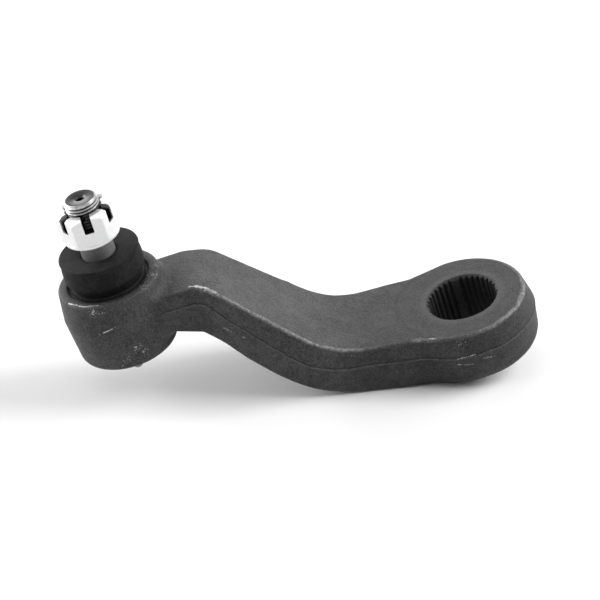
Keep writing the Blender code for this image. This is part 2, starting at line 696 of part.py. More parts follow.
def build_spring_and_cover(parts, joint, spring_material, cover_material):
    """The disc spring under the cup, and the cover plate that carries it."""
    metal = SPRING_METAL_SHARE * ROOM_UNDER_BALL
    disc = [
        (SPRING_INNER_RADIUS, SPRING_TOP),
        (SPRING_OUTER_RADIUS, SPRING_BOTTOM + metal),
        (SPRING_OUTER_RADIUS, SPRING_BOTTOM),
        (SPRING_INNER_RADIUS, SPRING_TOP - metal),
    ]
    turned("preload_spring", disc, parts, joint, spring_material, ring=True)
    outer = SOCKET_RADIUS - GAP
    plate = [
        (outer, COVER_TOP),
        (outer, COVER_BOTTOM),
        (COVER_HOLE_RADIUS, COVER_BOTTOM),
        (COVER_HOLE_RADIUS, COVER_TOP),
    ]
    turned("cover_plate", plate, parts, joint, cover_material, ring=True)


def build_fitting(parts, cutters, joint, material, inner_material):
    """The grease fitting under the cover, with its passage, check ball and spring."""
    stem_r = COVER_HOLE_RADIUS - GAP
    fitting = hexagon(
        "grease_fitting", FITTING_FLATS, HEX_BOTTOM, HEX_TOP, NUT_AZIMUTH, parts, joint, material
    )
    nipple = [
        (0.0, COVER_TOP),
        (stem_r, COVER_TOP),
        (stem_r, (HEX_TOP + HEX_BOTTOM) / 2),
        (FITTING_STEM_RADIUS, (HEX_TOP + HEX_BOTTOM) / 2),
        (FITTING_STEM_RADIUS, NECK_BOTTOM),
        (FITTING_HEAD_RADIUS, NECK_BOTTOM - FITTING_HEAD_LENGTH / 3),
        (FITTING_TIP_RADIUS, FITTING_TIP),
        (0.0, FITTING_TIP),
    ]
    body = turned("fitting_nipple", nipple, cutters, joint, steps=SMALL_STEPS)
    boolean(fitting, "UNION", as_cutter(body))
    passage = [
        (0.0, COVER_TOP + CUT_PAST),
        (FITTING_CRIMP_RADIUS, COVER_TOP + CUT_PAST),
        (FITTING_CRIMP_RADIUS, CHAMBER_TOP),
        (FITTING_BORE_RADIUS, CHAMBER_TOP),
        (FITTING_BORE_RADIUS, CHAMBER_BOTTOM),
        (FITTING_MOUTH_RADIUS, CHAMBER_BOTTOM),
        (FITTING_MOUTH_RADIUS, FITTING_TIP - CUT_PAST),
        (0.0, FITTING_TIP - CUT_PAST),
    ]
    bore = turned("fitting_passage", passage, cutters, joint, steps=TINY_STEPS)
    boolean(fitting, "DIFFERENCE", as_cutter(bore))

    bm = bmesh.new()
    bmesh.ops.create_uvsphere(
        bm, u_segments=TINY_STEPS, v_segments=TINY_STEPS // 2, radius=CHECK_BALL_RADIUS
    )
    ball_mesh = mesh_from_bmesh("fitting_ball", bm)
    ball = add_object("fitting_ball", ball_mesh, parts, joint, inner_material)
    ball.location = (0.0, 0.0, CHECK_BALL_CENTRE)

    curve = bpy.data.curves.new("fitting_spring", "CURVE")
    curve.dimensions = "3D"
    curve.bevel_depth = CHECK_SPRING_WIRE
    curve.bevel_resolution = 1
    curve.use_fill_caps = True
    spline = curve.splines.new("POLY")
    count = CHECK_SPRING_TURNS * SPRING_POINTS_PER_TURN + 1
    spline.points.add(count - 1)
    radius = FITTING_BORE_RADIUS - GAP - CHECK_SPRING_WIRE
    low = CHECK_BALL_CENTRE + CHECK_BALL_RADIUS + GAP + CHECK_SPRING_WIRE
    high = CHAMBER_TOP - GAP - CHECK_SPRING_WIRE
    for i in range(count):
        angle = 2 * math.pi * i / SPRING_POINTS_PER_TURN
        height = low + (high - low) * i / (count - 1)
        spline.points[i].co = (radius * math.cos(angle), radius * math.sin(angle), height, 1.0)
    spring = bpy.data.objects.new("fitting_spring", curve)
    parts.objects.link(spring)
    spring.parent = joint
    curve.materials.append(inner_material)


def build():
    clear_scene()
    parts = new_collection("pitman_arm")
    cutters = new_collection("cutters")
    joint = bpy.data.objects.new("ball_joint_axis", None)
    parts.objects.link(joint)
    joint.location = (BALL_X, 0.0, BALL_HEIGHT)
    joint.rotation_euler = (0.0, JOINT_LEAN, 0.0)

    forged = finish_material("forged_steel", (0.04, 0.04, 0.041), 0.55, 0.0)
    stud_steel = finish_material("stud_steel", (0.33, 0.33, 0.34), 0.35, 1.0)
    zinc = finish_material("zinc_plate", (0.78, 0.78, 0.79), 0.3, 1.0)
    rubber = finish_material("rubber", (0.02, 0.02, 0.02), 0.7, 0.0)
    nylon = finish_material("nylon", (0.75, 0.73, 0.66), 0.5, 0.0)
    sintered = finish_material("sintered_steel", (0.3, 0.28, 0.25), 0.6, 0.9)
    spring_steel = finish_material("spring_steel", (0.25, 0.26, 0.28), 0.35, 1.0)
    cover_steel = finish_material("cover_steel", (0.2, 0.2, 0.21), 0.5, 0.9)

    build_arm(parts, cutters, joint, forged)
    build_stud(parts, cutters, joint, stud_steel)
    build_nut(parts, cutters, joint, zinc)
    build_boot(parts, joint, rubber)
    build_seats(parts, joint, nylon, sintered)
    build_spring_and_cover(parts, joint, spring_steel, cover_steel)
    build_fitting(parts, cutters, joint, zinc, spring_steel)
    bpy.context.view_layer.update()


build()
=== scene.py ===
"""How the forged pitman arm looks: its finer shapes, its finishes, and the table it lies on.

Metres, in the part's own frame: the serrated bore's centre is the origin, +Z runs along the bore, and
the ball joint lies towards -X. Lengths are written in millimetres and multiplied by MM.
"""

import math

import bmesh
import bpy
import numpy as np
from mathutils import Matrix, Vector


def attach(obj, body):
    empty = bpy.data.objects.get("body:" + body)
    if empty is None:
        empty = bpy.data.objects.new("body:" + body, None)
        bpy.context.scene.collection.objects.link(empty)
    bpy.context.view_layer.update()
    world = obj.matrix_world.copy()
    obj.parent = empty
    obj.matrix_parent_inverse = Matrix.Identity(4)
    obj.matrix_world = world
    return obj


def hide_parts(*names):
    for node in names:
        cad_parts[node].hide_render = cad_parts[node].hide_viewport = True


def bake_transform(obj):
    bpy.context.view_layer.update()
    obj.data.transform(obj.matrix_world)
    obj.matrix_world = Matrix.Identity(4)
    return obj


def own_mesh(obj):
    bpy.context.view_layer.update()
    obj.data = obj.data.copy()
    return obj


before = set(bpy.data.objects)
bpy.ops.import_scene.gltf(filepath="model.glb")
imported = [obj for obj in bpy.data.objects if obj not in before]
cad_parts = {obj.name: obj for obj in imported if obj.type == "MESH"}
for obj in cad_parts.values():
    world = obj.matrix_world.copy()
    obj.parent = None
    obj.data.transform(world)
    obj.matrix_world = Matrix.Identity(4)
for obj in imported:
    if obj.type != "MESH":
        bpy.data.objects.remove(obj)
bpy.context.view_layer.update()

MM = 0.001
PAST = 2.0 * MM

# Forging
BALL_X = -140.8 * MM
BALL_Z = 52.5 * MM
LEAN = math.radians(2.2)
HOUSING_RADIUS = 23.25 * MM
RIM_RADIUS = 22.0 * MM
BASE_RADIUS = 21.6 * MM
RIM_HEIGHT = 13.5 * MM
RIM_ROUNDING = 1.7 * MM
BASE_DEPTH = 20.5 * MM
BASE_ROUNDING = 2.7 * MM
EYE_RADIUS = 30.1 * MM
EYE_BOTTOM = -27.6 * MM
ROOT_FILLET = 4.0 * MM
ROOT_SINK = 0.8 * MM
NECK_HALF_WIDTH = 17.2 * MM
SERRATIONS = 36
SERRATION_TIP = 14.95 * MM
SERRATION_ROOT = 15.9 * MM
BORE_CHAMFER = 0.45 * MM
UPPER_EDGE_STEPS = 6
UNDER_EDGE_STEPS = 7
SIDE_STEPS = 8

# Joint; heights run along the stud from the ball's centre, and radii and depths are taken on its axis
STUD_END = 53.6 * MM
THREAD_CREST = 7.15 * MM
THREAD_DEPTH = 0.75 * MM
THREAD_PITCH = 1.411 * MM
THREAD_RUNOUT = 35.6 * MM
THREAD_START = 34.9 * MM
END_CHAMFER = 0.95 * MM
PIN_HOLE_RADIUS = 1.8 * MM
PIN_HOLE_DEPTH = 6.2 * MM
PIN_HOLE_TURN = math.radians(-105.0)
NUT_SEAT = 35.0 * MM
NUT_TOP = 49.2 * MM
NUT_FLATS = 22.4 * MM
NUT_TURN = math.radians(-88.5)
NUT_BORE = 7.45 * MM
NUT_COLLAR = 11.7 * MM
NUT_CONE = 10.2 * MM
NUT_CONE_SLOPE = math.tan(math.radians(32.0))
NUT_SOFT = 0.22 * MM
SLOT_HALF_WIDTH = 2.0 * MM
SLOT_DEPTH = 6.9 * MM
SLOT_ROUNDING = 0.5 * MM
SLOT_REACH = 16.0 * MM
FITTING_FLATS = 8.0 * MM
CHECK_BALL_TOP = -30.5 * MM
SPRING_COIL_RADIUS = 0.91 * MM
SPRING_WIRE = 0.14 * MM
SPRING_TURNS = 9
SPRING_TOP = -17.54 * MM
SPRING_BOTTOM = CHECK_BALL_TOP + 0.3 * MM + SPRING_WIRE

JOINT = Matrix.Translation((BALL_X, 0.0, BALL_Z)) @ Matrix.Rotation(LEAN, 4, "Y")


# Making meshes


def grid_mesh(name, grid, wrap=False):
    """A surface over a grid of points: each face joins four neighbours, and wrap closes the columns."""
    rows, columns = grid.shape[:2]
    index = np.arange(rows * columns).reshape(rows, columns)
    if wrap:
        index = np.concatenate([index, index[:, :1]], 1)
    faces = np.stack([index[:-1, :-1], index[1:, :-1], index[1:, 1:], index[:-1, 1:]], -1)
    mesh = bpy.data.meshes.new(name)
    mesh.from_pydata(grid.reshape(-1, 3).tolist(), [], faces.reshape(-1, 4).tolist())
    return mesh


def weld(mesh, outward=False):
    """Points that fall together become one, so that poles and seams close."""
    bm = bmesh.new()
    bm.from_mesh(mesh)
    bmesh.ops.remove_doubles(bm, verts=bm.verts, dist=2e-6)
    bmesh.ops.dissolve_degenerate(bm, edges=bm.edges, dist=1e-7)
    if outward:
        bmesh.ops.recalc_face_normals(bm, faces=bm.faces)
    bm.to_mesh(mesh)
    bm.free()
    return mesh


def turned(name, profile, steps=96, ring=False):
    """A turned surface: r(t), z(t) carried round Z, as (r cos a, r sin a, z).

    The profile runs down the outer side. A ring's profile comes back up inside to its start.
    """
    line = np.array(profile + profile[:1] if ring else profile)
    angle = np.linspace(0.0, 2 * math.pi, steps, endpoint=False)
    return weld(grid_mesh(name, swept(line[:, :1], angle, line[:, 1:]), wrap=True))


def arc(radius, start, end, steps, centre):
    """Points (r, z) on an arc round centre, from the start angle to the end angle, in degrees."""
    angle = np.radians(np.linspace(start, end, steps + 1))
    return list(zip(centre[0] + radius * np.cos(angle), centre[1] + radius * np.sin(angle)))


def slant(start, end, steps):
    """Points (r, z) on the straight line from start to end, without the start."""
    return np.linspace(start, end, steps + 1)[1:].tolist()


def in_metres(profile):
    """Points (r, z) given in millimetres."""
    return [(r * MM, z * MM) for r, z in profile]


def swept(radius, angle, height):
    """The points (r cos a, r sin a, z) of a radius and a height at each angle."""
    return np.stack([radius * np.cos(angle), radius * np.sin(angle), height + 0.0 * angle], -1)


def hexagon(angle, flats, power):
    """r(a) of a hexagon with softened corners: half its width across flats over (sum of cos^p)^(1/p)."""
    sides = NUT_TURN + np.arange(6)[:, None] * math.pi / 3
    return flats / 2 / (np.maximum(np.cos(angle - sides), 0.0) ** power).sum(0) ** (1 / power)


def shown(name, mesh):
    """An object in the scene that holds the mesh, lamp or camera."""
    obj = bpy.data.objects.new(name, mesh)
    bpy.context.scene.collection.objects.link(obj)
    return obj


def cut(obj, operation, *tools):
    """Joins tools to obj, or cuts them from it, and keeps the result as obj's own mesh."""
    for tool in tools:
        change = obj.modifiers.new(operation.lower(), "BOOLEAN")
        change.operation = operation
        change.solver = "EXACT"
        change.object = tool
    settle(obj)
    for tool in tools:
        bpy.data.objects.remove(tool, do_unlink=True)
    return obj


def settle(obj):
    """Makes the modified shape the object's own mesh."""
    shape = obj.evaluated_get(bpy.context.evaluated_depsgraph_get())
    mesh = bpy.data.meshes.new_from_object(shape)
    obj.modifiers.clear()
    obj.data = mesh


def finish(obj, node, body, material, crease=30.0):
    """The piece stands for a node of the solid, rides with its body and takes its finish."""
    obj.data.materials.clear()
    obj.data.materials.append(material)
    obj.data.shade_smooth()
    obj.data.set_sharp_from_angle(angle=math.radians(crease))
    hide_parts(node)
    if body:
        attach(obj, body)
    return obj


# The forging


def rounded_line(corners, steps=24):
    """A polyline (x, height) whose inner corners are arcs that touch both of their lines.

    Each corner is (x, height, radius), in millimetres; the result is in metres, with x ascending.
    """
    corners = np.array(corners, float) * MM
    points = [corners[:1, :2]]
    for before, corner, after in zip(corners, corners[1:], corners[2:]):
        back = (before - corner)[:2] / np.linalg.norm((before - corner)[:2])
        ahead = (after - corner)[:2] / np.linalg.norm((after - corner)[:2])
        half = math.acos(np.clip(back @ ahead, -1.0, 1.0)) / 2
        middle = (back + ahead) / max(np.linalg.norm(back + ahead), 1e-9)
        centre = corner[:2] + middle * corner[2] / math.sin(half)
        start = corner[:2] + back * corner[2] / math.tan(half) - centre
        end = corner[:2] + ahead * corner[2] / math.tan(half) - centre
        a = np.linspace(0.0, 1.0, steps) * math.atan2(
            start[0] * end[1] - start[1] * end[0], start @ end
        )
        turn = np.stack([np.cos(a), np.sin(a), -np.sin(a), np.cos(a)], 1).reshape(-1, 2, 2)
        points.append(centre + start @ turn)
    points.append(corners[-1:, :2])
    line = np.concatenate(points)
    return line[np.argsort(line[:, 0], kind="stable")].T


TOP_LINE = rounded_line(
    [(-164, 57.3, 0), (-101.6, 57.3, 20), (-58.9, 7.6, 45), (-19, 0, 10), (31, 0, 0)]
)
UNDER_LINE = rounded_line(
    [(-164, 38.9, 0), (-113.6, 38.9, 14), (-74.0, -10.7, 74), (-14.8, -27.6, 14), (31, -27.6, 0)]
)
PARTING_LINE = rounded_line(
    [(-164, 50.9, 0), (-106.2, 50.9, 10), (-69.4, 2.4, 40), (-15, -10.3, 40), (31, -10.3, 0)]
)
FAR_SIDE = [(-141, 17.2, 0), (-104, 17.2, 10), (-95.5, 20.8, 6), (-73.5, 24.0, 8), (-70.5, 25.2, 4)]
FAR_SIDE += [(-66, 24.9, 10), (-54, 22.8, 20), (-43, 23.2, 6), (-29.5, 25.8, 20), (-18, 27.4, 9)]
FAR_TOUCH = -3.5 * MM
NEAR_SIDE = [(-141, 17.2, 0), (-104, 17.2, 10), (-96.5, 21.0, 10), (-72, 24.7, 30), (-45, 23.6, 40)]
NEAR_SIDE += [(-24, 23.6, 8)]
NEAR_TOUCH = -10.5 * MM
DRAFT_PLACES = np.array([-70, -35, 0, 30]) * MM
UPPER_DRAFT = np.tan(np.radians([2.5, 6.0, 4.0, 12.0]))
TOP_EDGES = np.array([2.0, 1.3, 1.3, 1.3]) * MM
LOWER_DRAFT = np.tan(np.radians([4.0, 4.0, 4.2, 2.2]))
UNDER_EDGES = np.array([3.2, 3.2, 7.5, 7.8]) * MM
FLAT_SHARES = np.linspace(0.0, 1.0, 13)[:-1]

# The parting line's section: height from the line and how far it stands out, from the top down
FLASH = [(1.0, 0.0), (0.75, 0.0), (0.5, -0.12), (0.3, -0.14), (0.1, 0.02), (-0.15, 0.22), (-0.4, 0.24)]
FLASH += [(-0.75, 0.1), (-1.2, 0.0)]
FLASH = [(rise * MM, out * MM) for rise, out in FLASH]

# How worn the upper edge is: along the near side (x in millimetres), and round the eye (degrees)
SHANK_WEAR = [(-106, 0.0), (-102, 0.7), (-97, 0.45), (-72, 0.5), (-52, 0.45), (-40, 0.12)]
SHANK_WEAR += [(-28, 0.1), (-25, 0.7), (-23, 0.7), (-18, 0.2)]
EYE_WEAR = [(-140, 0.4), (-125, 0.25), (-100, 0.15), (-85, 0.35), (-60, 0.6), (-30, 0.6)]
EYE_WEAR += [(0, 0.5), (40, 0.3), (90, 0.1), (180, 0.05)]
EYE_WEAR_START = -24 * MM
# Along x, where the parting line starts to show beside the housing, and over what length it fades in
SEAM_START = BALL_X + HOUSING_RADIUS - 8 * MM
SEAM_FADE = 6 * MM


def half_outline(corners, touch, stations=150, eye_stations=60):
    """One side of the plan at the parting line, from the neck to the eye's far end.

    Along the shank y is the rounded line at x, which meets the eye's circle at x = touch.
    """
    touch_y = math.sqrt(EYE_RADIUS**2 - touch**2)
    side = rounded_line(corners + [(touch / MM, touch_y / MM, 0)])
    x = np.linspace(BALL_X + HOUSING_RADIUS + 2 * ROOT_FILLET, touch, stations)
    angle = np.linspace(math.atan2(touch_y, touch), 0.0, eye_stations + 1)[1:]
    shank = np.stack([x, np.interp(x, *side)], 1)
    return np.concatenate([shank, EYE_RADIUS * np.stack([np.cos(angle), np.sin(angle)], 1)])


def section_levels(x):
    """Each level of the forging's section: inset from the parting outline, height, direction outward.

    They run round the upper edge, down the drafted side, over the flash, down and round the lower edge.
    """
    top, under, parting = (np.interp(x, *line) for line in (TOP_LINE, UNDER_LINE, PARTING_LINE))
    upper = np.interp(x, DRAFT_PLACES, UPPER_DRAFT) * (top - parting)
    lower = np.interp(x, DRAFT_PLACES, LOWER_DRAFT) * (parting - under)
    edge = np.interp(x, DRAFT_PLACES, TOP_EDGES)
    low_edge = np.interp(x, DRAFT_PLACES, UNDER_EDGES)
    levels = []
    for a in np.radians(np.linspace(90.0, 0.0, UPPER_EDGE_STEPS + 1)):
        c, s = math.cos(a), math.sin(a)
        levels.append((upper + edge * (1 - c), top - edge * (1 - s), (c, s)))
    for share in np.linspace(0.0, 1.0, SIDE_STEPS + 1)[1:-1]:
        start, end = top - edge, parting + FLASH[0][0]
        levels.append((upper * (1 - share), start + (end - start) * share, (1.0, 0.0)))
    for rise, out in FLASH:
        levels.append((0.0 * x - out, parting + rise, (1.0, 0.0)))
    for share in np.linspace(0.0, 1.0, SIDE_STEPS + 1)[1:-1]:
        start, end = parting + FLASH[-1][0], under + low_edge
        levels.append((lower * share, start + (end - start) * share, (1.0, 0.0)))
    for a in np.radians(np.linspace(0.0, -90.0, UNDER_EDGE_STEPS + 1)):
        c, s = math.cos(a), math.sin(a)
        levels.append((lower + low_edge * (1 - c), under + low_edge * (1 + s), (c, s)))
    return levels


def shank_edges(outline):
    """One side of shank and eye: the outline, inset level by level, at the heights of each point's x."""
    along = np.gradient(outline, axis=0)
    along[-1] = (0.0, -1.0)
    along /= np.linalg.norm(along, axis=1)[:, None]
    outward = np.stack([-along[:, 1], along[:, 0]], 1)
    edges = []
    for i, (inset, _, _) in enumerate(section_levels(outline[:, 0])):
        ring = outline - outward * inset[:, None]
        edges.append(np.column_stack([ring, section_levels(ring[:, 0])[i][1]]))
    return np.stack(edges, 1)


def with_flats(edges, middle_top, middle_under):
    """Adds the columns of the top and bottom faces, between the middle plane and the edges."""
    share = FLAT_SHARES[None, :, None]
    top = np.stack([middle_top, 0.0 * middle_top, 0.0 * middle_top], 1)[:, None]
    under = np.stack([middle_under, 0.0 * middle_under, 0.0 * middle_under], 1)[:, None]
    top = top + (edges[:, :1] - top) * share
    under = under + (edges[:, -1:] - under) * share[:, ::-1]
    top[..., 2] = np.interp(top[..., 0], *TOP_LINE)
    under[..., 2] = np.interp(under[..., 0], *UNDER_LINE)
    return np.concatenate([top, edges, under], 1)


def wall_x(y, z):
    """x of the housing's leaning wall, on the eye's side, at y and z."""
    heights = [BALL_Z - BASE_DEPTH, BALL_Z, BALL_Z + RIM_HEIGHT]
    radius = np.interp(z, heights, [BASE_RADIUS, HOUSING_RADIUS, RIM_RADIUS])
    return BALL_X + (z - BALL_Z) * math.tan(LEAN) + np.sqrt(np.maximum(radius**2 - y**2, 0.0))


def root_half(steps=12, passes=5):
    """The neck's flare into the housing: a quarter circle of ROOT_FILLET carried round the section."""
    neck = np.array([BALL_X + HOUSING_RADIUS])
    levels = section_levels(neck)
    y = np.array([NECK_HALF_WIDTH - float(inset[0]) for inset, _, _ in levels])
    facing = np.array([direction for _, _, direction in levels])
    y = np.concatenate([y[0] * FLAT_SHARES, y, y[-1] * FLAT_SHARES[::-1]])
    flats = len(FLAT_SHARES)
    facing = np.concatenate([[(0.0, 1.0)] * flats, facing, [(0.0, -1.0)] * flats])
    rows = []
    for a in np.radians(np.linspace(0.0, 90.0, steps + 1)):
        swell = ROOT_FILLET * (1 - math.sin(a))
        away = ROOT_FILLET * (1 - math.cos(a)) if a else -ROOT_SINK
        x = np.full(len(y), neck[0])
        for _ in range(passes):
            side = y + facing[:, 0] * swell
            z = column_heights(x) + facing[:, 1] * swell
            x = wall_x(side, z) + away
        rows.append(np.stack([x, side, z], 1))
    return np.array(rows)


def column_heights(x):
    """The height of each column of a section whose points have their own x."""
    flats = len(FLAT_SHARES)
    levels = section_levels(x[flats:-flats])
    middle = [float(level[1][i]) for i, level in enumerate(levels)]
    top, under = np.interp(x[:flats], *TOP_LINE), np.interp(x[-flats:], *UNDER_LINE)
    return np.concatenate([top, middle, under])


def serrated_bar():
    """The bore's tool: r(a, z) is the serration's outline, or the mouth's cone where that is wider."""
    share = np.linspace(-0.5, 0.5, 12, endpoint=False)
    depth = np.clip(1.18 * (1 - np.abs(share) / 0.36), 0.0, 1.0)
    division = np.arange(SERRATIONS)
    angle = ((division[:, None] + share) * 2 * math.pi / SERRATIONS).ravel()
    grooved = (division % (SERRATIONS // 4) > 0)[:, None]
    outline = (SERRATION_TIP + (SERRATION_ROOT - SERRATION_TIP) * depth * grooved).ravel()
    mouth = np.linspace(-1.5 * MM, 0.0, 9)
    low = EYE_BOTTOM - mouth[::-1]
    z = np.concatenate([[EYE_BOTTOM - PAST], low, mouth, [PAST]])[::-1, None]
    out_of = np.maximum(z, EYE_BOTTOM - z)
    r = np.maximum(outline, SERRATION_ROOT + BORE_CHAMFER + out_of)
    grid = swept(r, angle, z)
    ends = np.zeros((1, len(angle), 3))
    top, bottom = ends + (0, 0, PAST), ends + (0, 0, EYE_BOTTOM - PAST)
    mesh = grid_mesh("serrated_bar", np.concatenate([top, grid, bottom]), wrap=True)
    return shown("serrated_bar", weld(mesh))


def housing_body():
    """The housing before boring, turned, with a shallow groove round the boot's foot."""
    groove = [(15.8, 0.0), (16.0, 1.7), (17.3, 1.7), (17.8, 0.3), (18.2, 0.0)]
    rim = (RIM_RADIUS - RIM_ROUNDING, RIM_HEIGHT - RIM_ROUNDING)
    base = (BASE_RADIUS - BASE_ROUNDING, BASE_ROUNDING - BASE_DEPTH)
    waist = (HOUSING_RADIUS, 0.0)
    profile = [(0.0, RIM_HEIGHT)] + [(r * MM, RIM_HEIGHT - deep * MM) for r, deep in groove]
    profile += arc(RIM_ROUNDING, 90, 0, 8, rim)
    profile += slant((RIM_RADIUS, rim[1]), waist, 7)
    profile += slant(waist, (BASE_RADIUS, base[1]), 8)
    profile += arc(BASE_ROUNDING, 0, -90, 8, base)[1:]
    profile += [(0.0, -BASE_DEPTH)]
    mesh = turned("housing_body", profile, steps=144)
    mesh.transform(JOINT)
    return shown("housing_body", mesh)


def socket():
    """The housing's inside: mouth, shelf, seat bore and the rolled lip's opening."""
    profile = [(0.0, 15.5), (12.87, 15.5), (10.19, 8.3), (14.7, 8.3), (14.7, -19.0)]
    profile += [(13.5, -19.0), (13.5, -22.5), (0.0, -22.5)]
    mesh = turned("socket", in_metres(profile))
    mesh.transform(JOINT)
    return shown("socket", mesh)


def forge_arm(material):
    """Shank and eye are lofted as two halves, joined to the turned housing, then bored."""
    far = shank_edges(half_outline(FAR_SIDE, FAR_TOUCH))
    near = shank_edges(half_outline(NEAR_SIDE, NEAR_TOUCH))
    middle = [(far[:, end, 0] + near[:, end, 0]) / 2 for end in (0, -1)]
    root = root_half()
    far_half = np.concatenate([root, with_flats(far, *middle)])
    near_half = np.concatenate([root, with_flats(near, *middle)]) * (1.0, -1.0, 1.0)
    grid = np.concatenate([far_half, near_half[:, ::-1][:, 1:]], 1)
    mesh = grid_mesh("arm", grid)
    bm = bmesh.new()
    bm.from_mesh(mesh)
    bm.verts.ensure_lookup_table()
    bm.faces.new([bm.verts[i] for i in range(grid.shape[1] - 1)])
    bm.to_mesh(mesh)
    bm.free()
    arm = shown("forged_arm", weld(mesh, outward=True))
    cut(arm, "UNION", housing_body())
    cut(arm, "DIFFERENCE", socket(), serrated_bar())
    note_places(arm, (far, near * (1.0, -1.0, 1.0)))
    return finish(arm, "arm_forging", "arm", material, crease=26.0)


def note_places(arm, edges):
    """Writes on each point how far it is from the upper edge and from the parting line, in millimetres.

    Across the upper edge the distance counts inwards on the top face and, below zero, down the side.
    Three more run from 0 to 1: how clearly the parting line shows, how worn the edge is, and the
    tone with painted light and shade: lighter on the slope, darker by the boot, on the sides and in the
    bore.
    """
    count = len(arm.data.vertices)
    points = np.zeros(count * 3)
    arm.data.vertices.foreach_get("co", points)
    points = points.reshape(-1, 3)
    corner = [np.column_stack([side[:, UPPER_EDGE_STEPS, :2], side[:, 0, 2]]) for side in edges]
    corner = np.concatenate(corner)
    distance = np.empty(count)
    for part in np.array_split(np.arange(count), 1 + count // 2000):
        gap = points[part, None, :2] - corner[None, :, :2]
        drop = points[part, None, 2] - corner[None, :, 2]
        distance[part] = np.sqrt((gap**2).sum(2) + drop**2).min(1)
    x, y, z = points.T
    down = np.interp(x, *TOP_LINE) - z
    side_seen = down > 0.6 * distance
    edge = np.where(side_seen, -distance, distance) / MM
    seam = (z - np.interp(x, *PARTING_LINE)) / MM
    seam_clear = np.clip((x - SEAM_START) / SEAM_FADE, 0.0, 1.0)
    seam_clear *= np.hypot(x, y) > SERRATION_ROOT + 2 * MM
    turn = np.degrees(np.arctan2(y, x))
    shank_wear = np.interp(x / MM, *zip(*SHANK_WEAR)) * (y < 0)
    eye_wear = np.interp(turn, *zip(*EYE_WEAR))
    wear = np.where(x > EYE_WEAR_START, eye_wear, shank_wear)
    # painted light and shade in the tone: lighter on the slope that faces the lamps, darker by the boot, on
    # the sides and inside the bore
    tone_and_painted_light = np.interp(x / MM, *zip(*PAINTED_LIGHT_ALONG_X))
    tone_and_painted_light = np.where(side_seen, PAINTED_SIDE_SHADE * np.maximum(tone_and_painted_light, 0.95), tone_and_painted_light)
    tone_and_painted_light[x < BALL_X + HOUSING_RADIUS] = HOUSING_COAT
    in_bore = (np.hypot(x, y) < SERRATION_ROOT + 0.2 * MM) & (x > -EYE_RADIUS)
    tone_and_painted_light[in_bore] = PAINTED_BORE_SHADE
    wear[in_bore] = 0.0
    noted = {"edge_mm": edge, "seam_mm": seam, "seam_clear": seam_clear, "edge_wear": wear, "tone_and_painted_light": tone_and_painted_light}
    for name, values in noted.items():
        arm.data.attributes.new(name, "FLOAT", "POINT").data.foreach_set("value", values.astype(np.float32))


# The joint's pieces


def thread_radius(z, angle):
    """Sixty-degree thread: the radius falls from crest to root as a flat-topped wave along the helix.

    Its phase is z / pitch - angle / 2 pi, and it fades out before the runout and at the end's chamfer.
    """
    phase = (z / THREAD_PITCH - angle / (2 * math.pi)) % 1.0
    wave = np.clip(2.3 * np.abs(phase - 0.5) - 0.12, 0.0, 1.0)
    fade = np.clip((z - THREAD_RUNOUT) / THREAD_PITCH, 0.0, 1.0)
    crest = np.minimum(THREAD_CREST, THREAD_CREST + STUD_END - z - END_CHAMFER)
    return np.minimum(crest, THREAD_CREST - THREAD_DEPTH * wave * fade)


def ball_stud(material):
    """One surface from the centre hole over the thread, taper and waist to the ball's pole."""
    angle = np.linspace(0.0, 2 * math.pi, 96, endpoint=False)
    hole = [(0.0, 48.1), (1.5, 49.6), (1.5, 52.7), (1.62, 52.85), (2.3, 53.5), (2.45, 53.6)]
    rest = [(6.85, 34.0), (7.57, 22.7), (7.5, 22.4), (6.8, 21.2), (6.6, 20.8), (6.6, 11.6)]
    rest = in_metres(rest + [(6.75, 10.95)]) + arc(12.7 * MM, 56.5, -90, 36, (0.0, 0.0))
    z = np.linspace(STUD_END, THREAD_START, 190)[:, None]
    thread = swept(thread_radius(z, angle), angle, z)
    start, end = (swept(line[:, :1], angle, line[:, 1:]) for line in map(np.array, (in_metres(hole), rest)))
    mesh = weld(grid_mesh("stud", np.concatenate([start, thread, end]), wrap=True))
    stud = shown("stud", mesh)
    reach = 10 * MM
    bar = [(0.0, reach), (PIN_HOLE_RADIUS, reach), (PIN_HOLE_RADIUS, -reach), (0.0, -reach)]
    drill = turned("pin_drill", bar, 32)
    across = Matrix.Translation((0, 0, STUD_END - PIN_HOLE_DEPTH))
    across @= Matrix.Rotation(PIN_HOLE_TURN, 4, "Z") @ Matrix.Rotation(math.pi / 2, 4, "Y")
    drill.transform(across)
    cut(stud, "DIFFERENCE", shown("pin_drill", drill))
    stud.data.transform(JOINT)
    finish(stud, "ball_stud", "stud", material, crease=38.0)


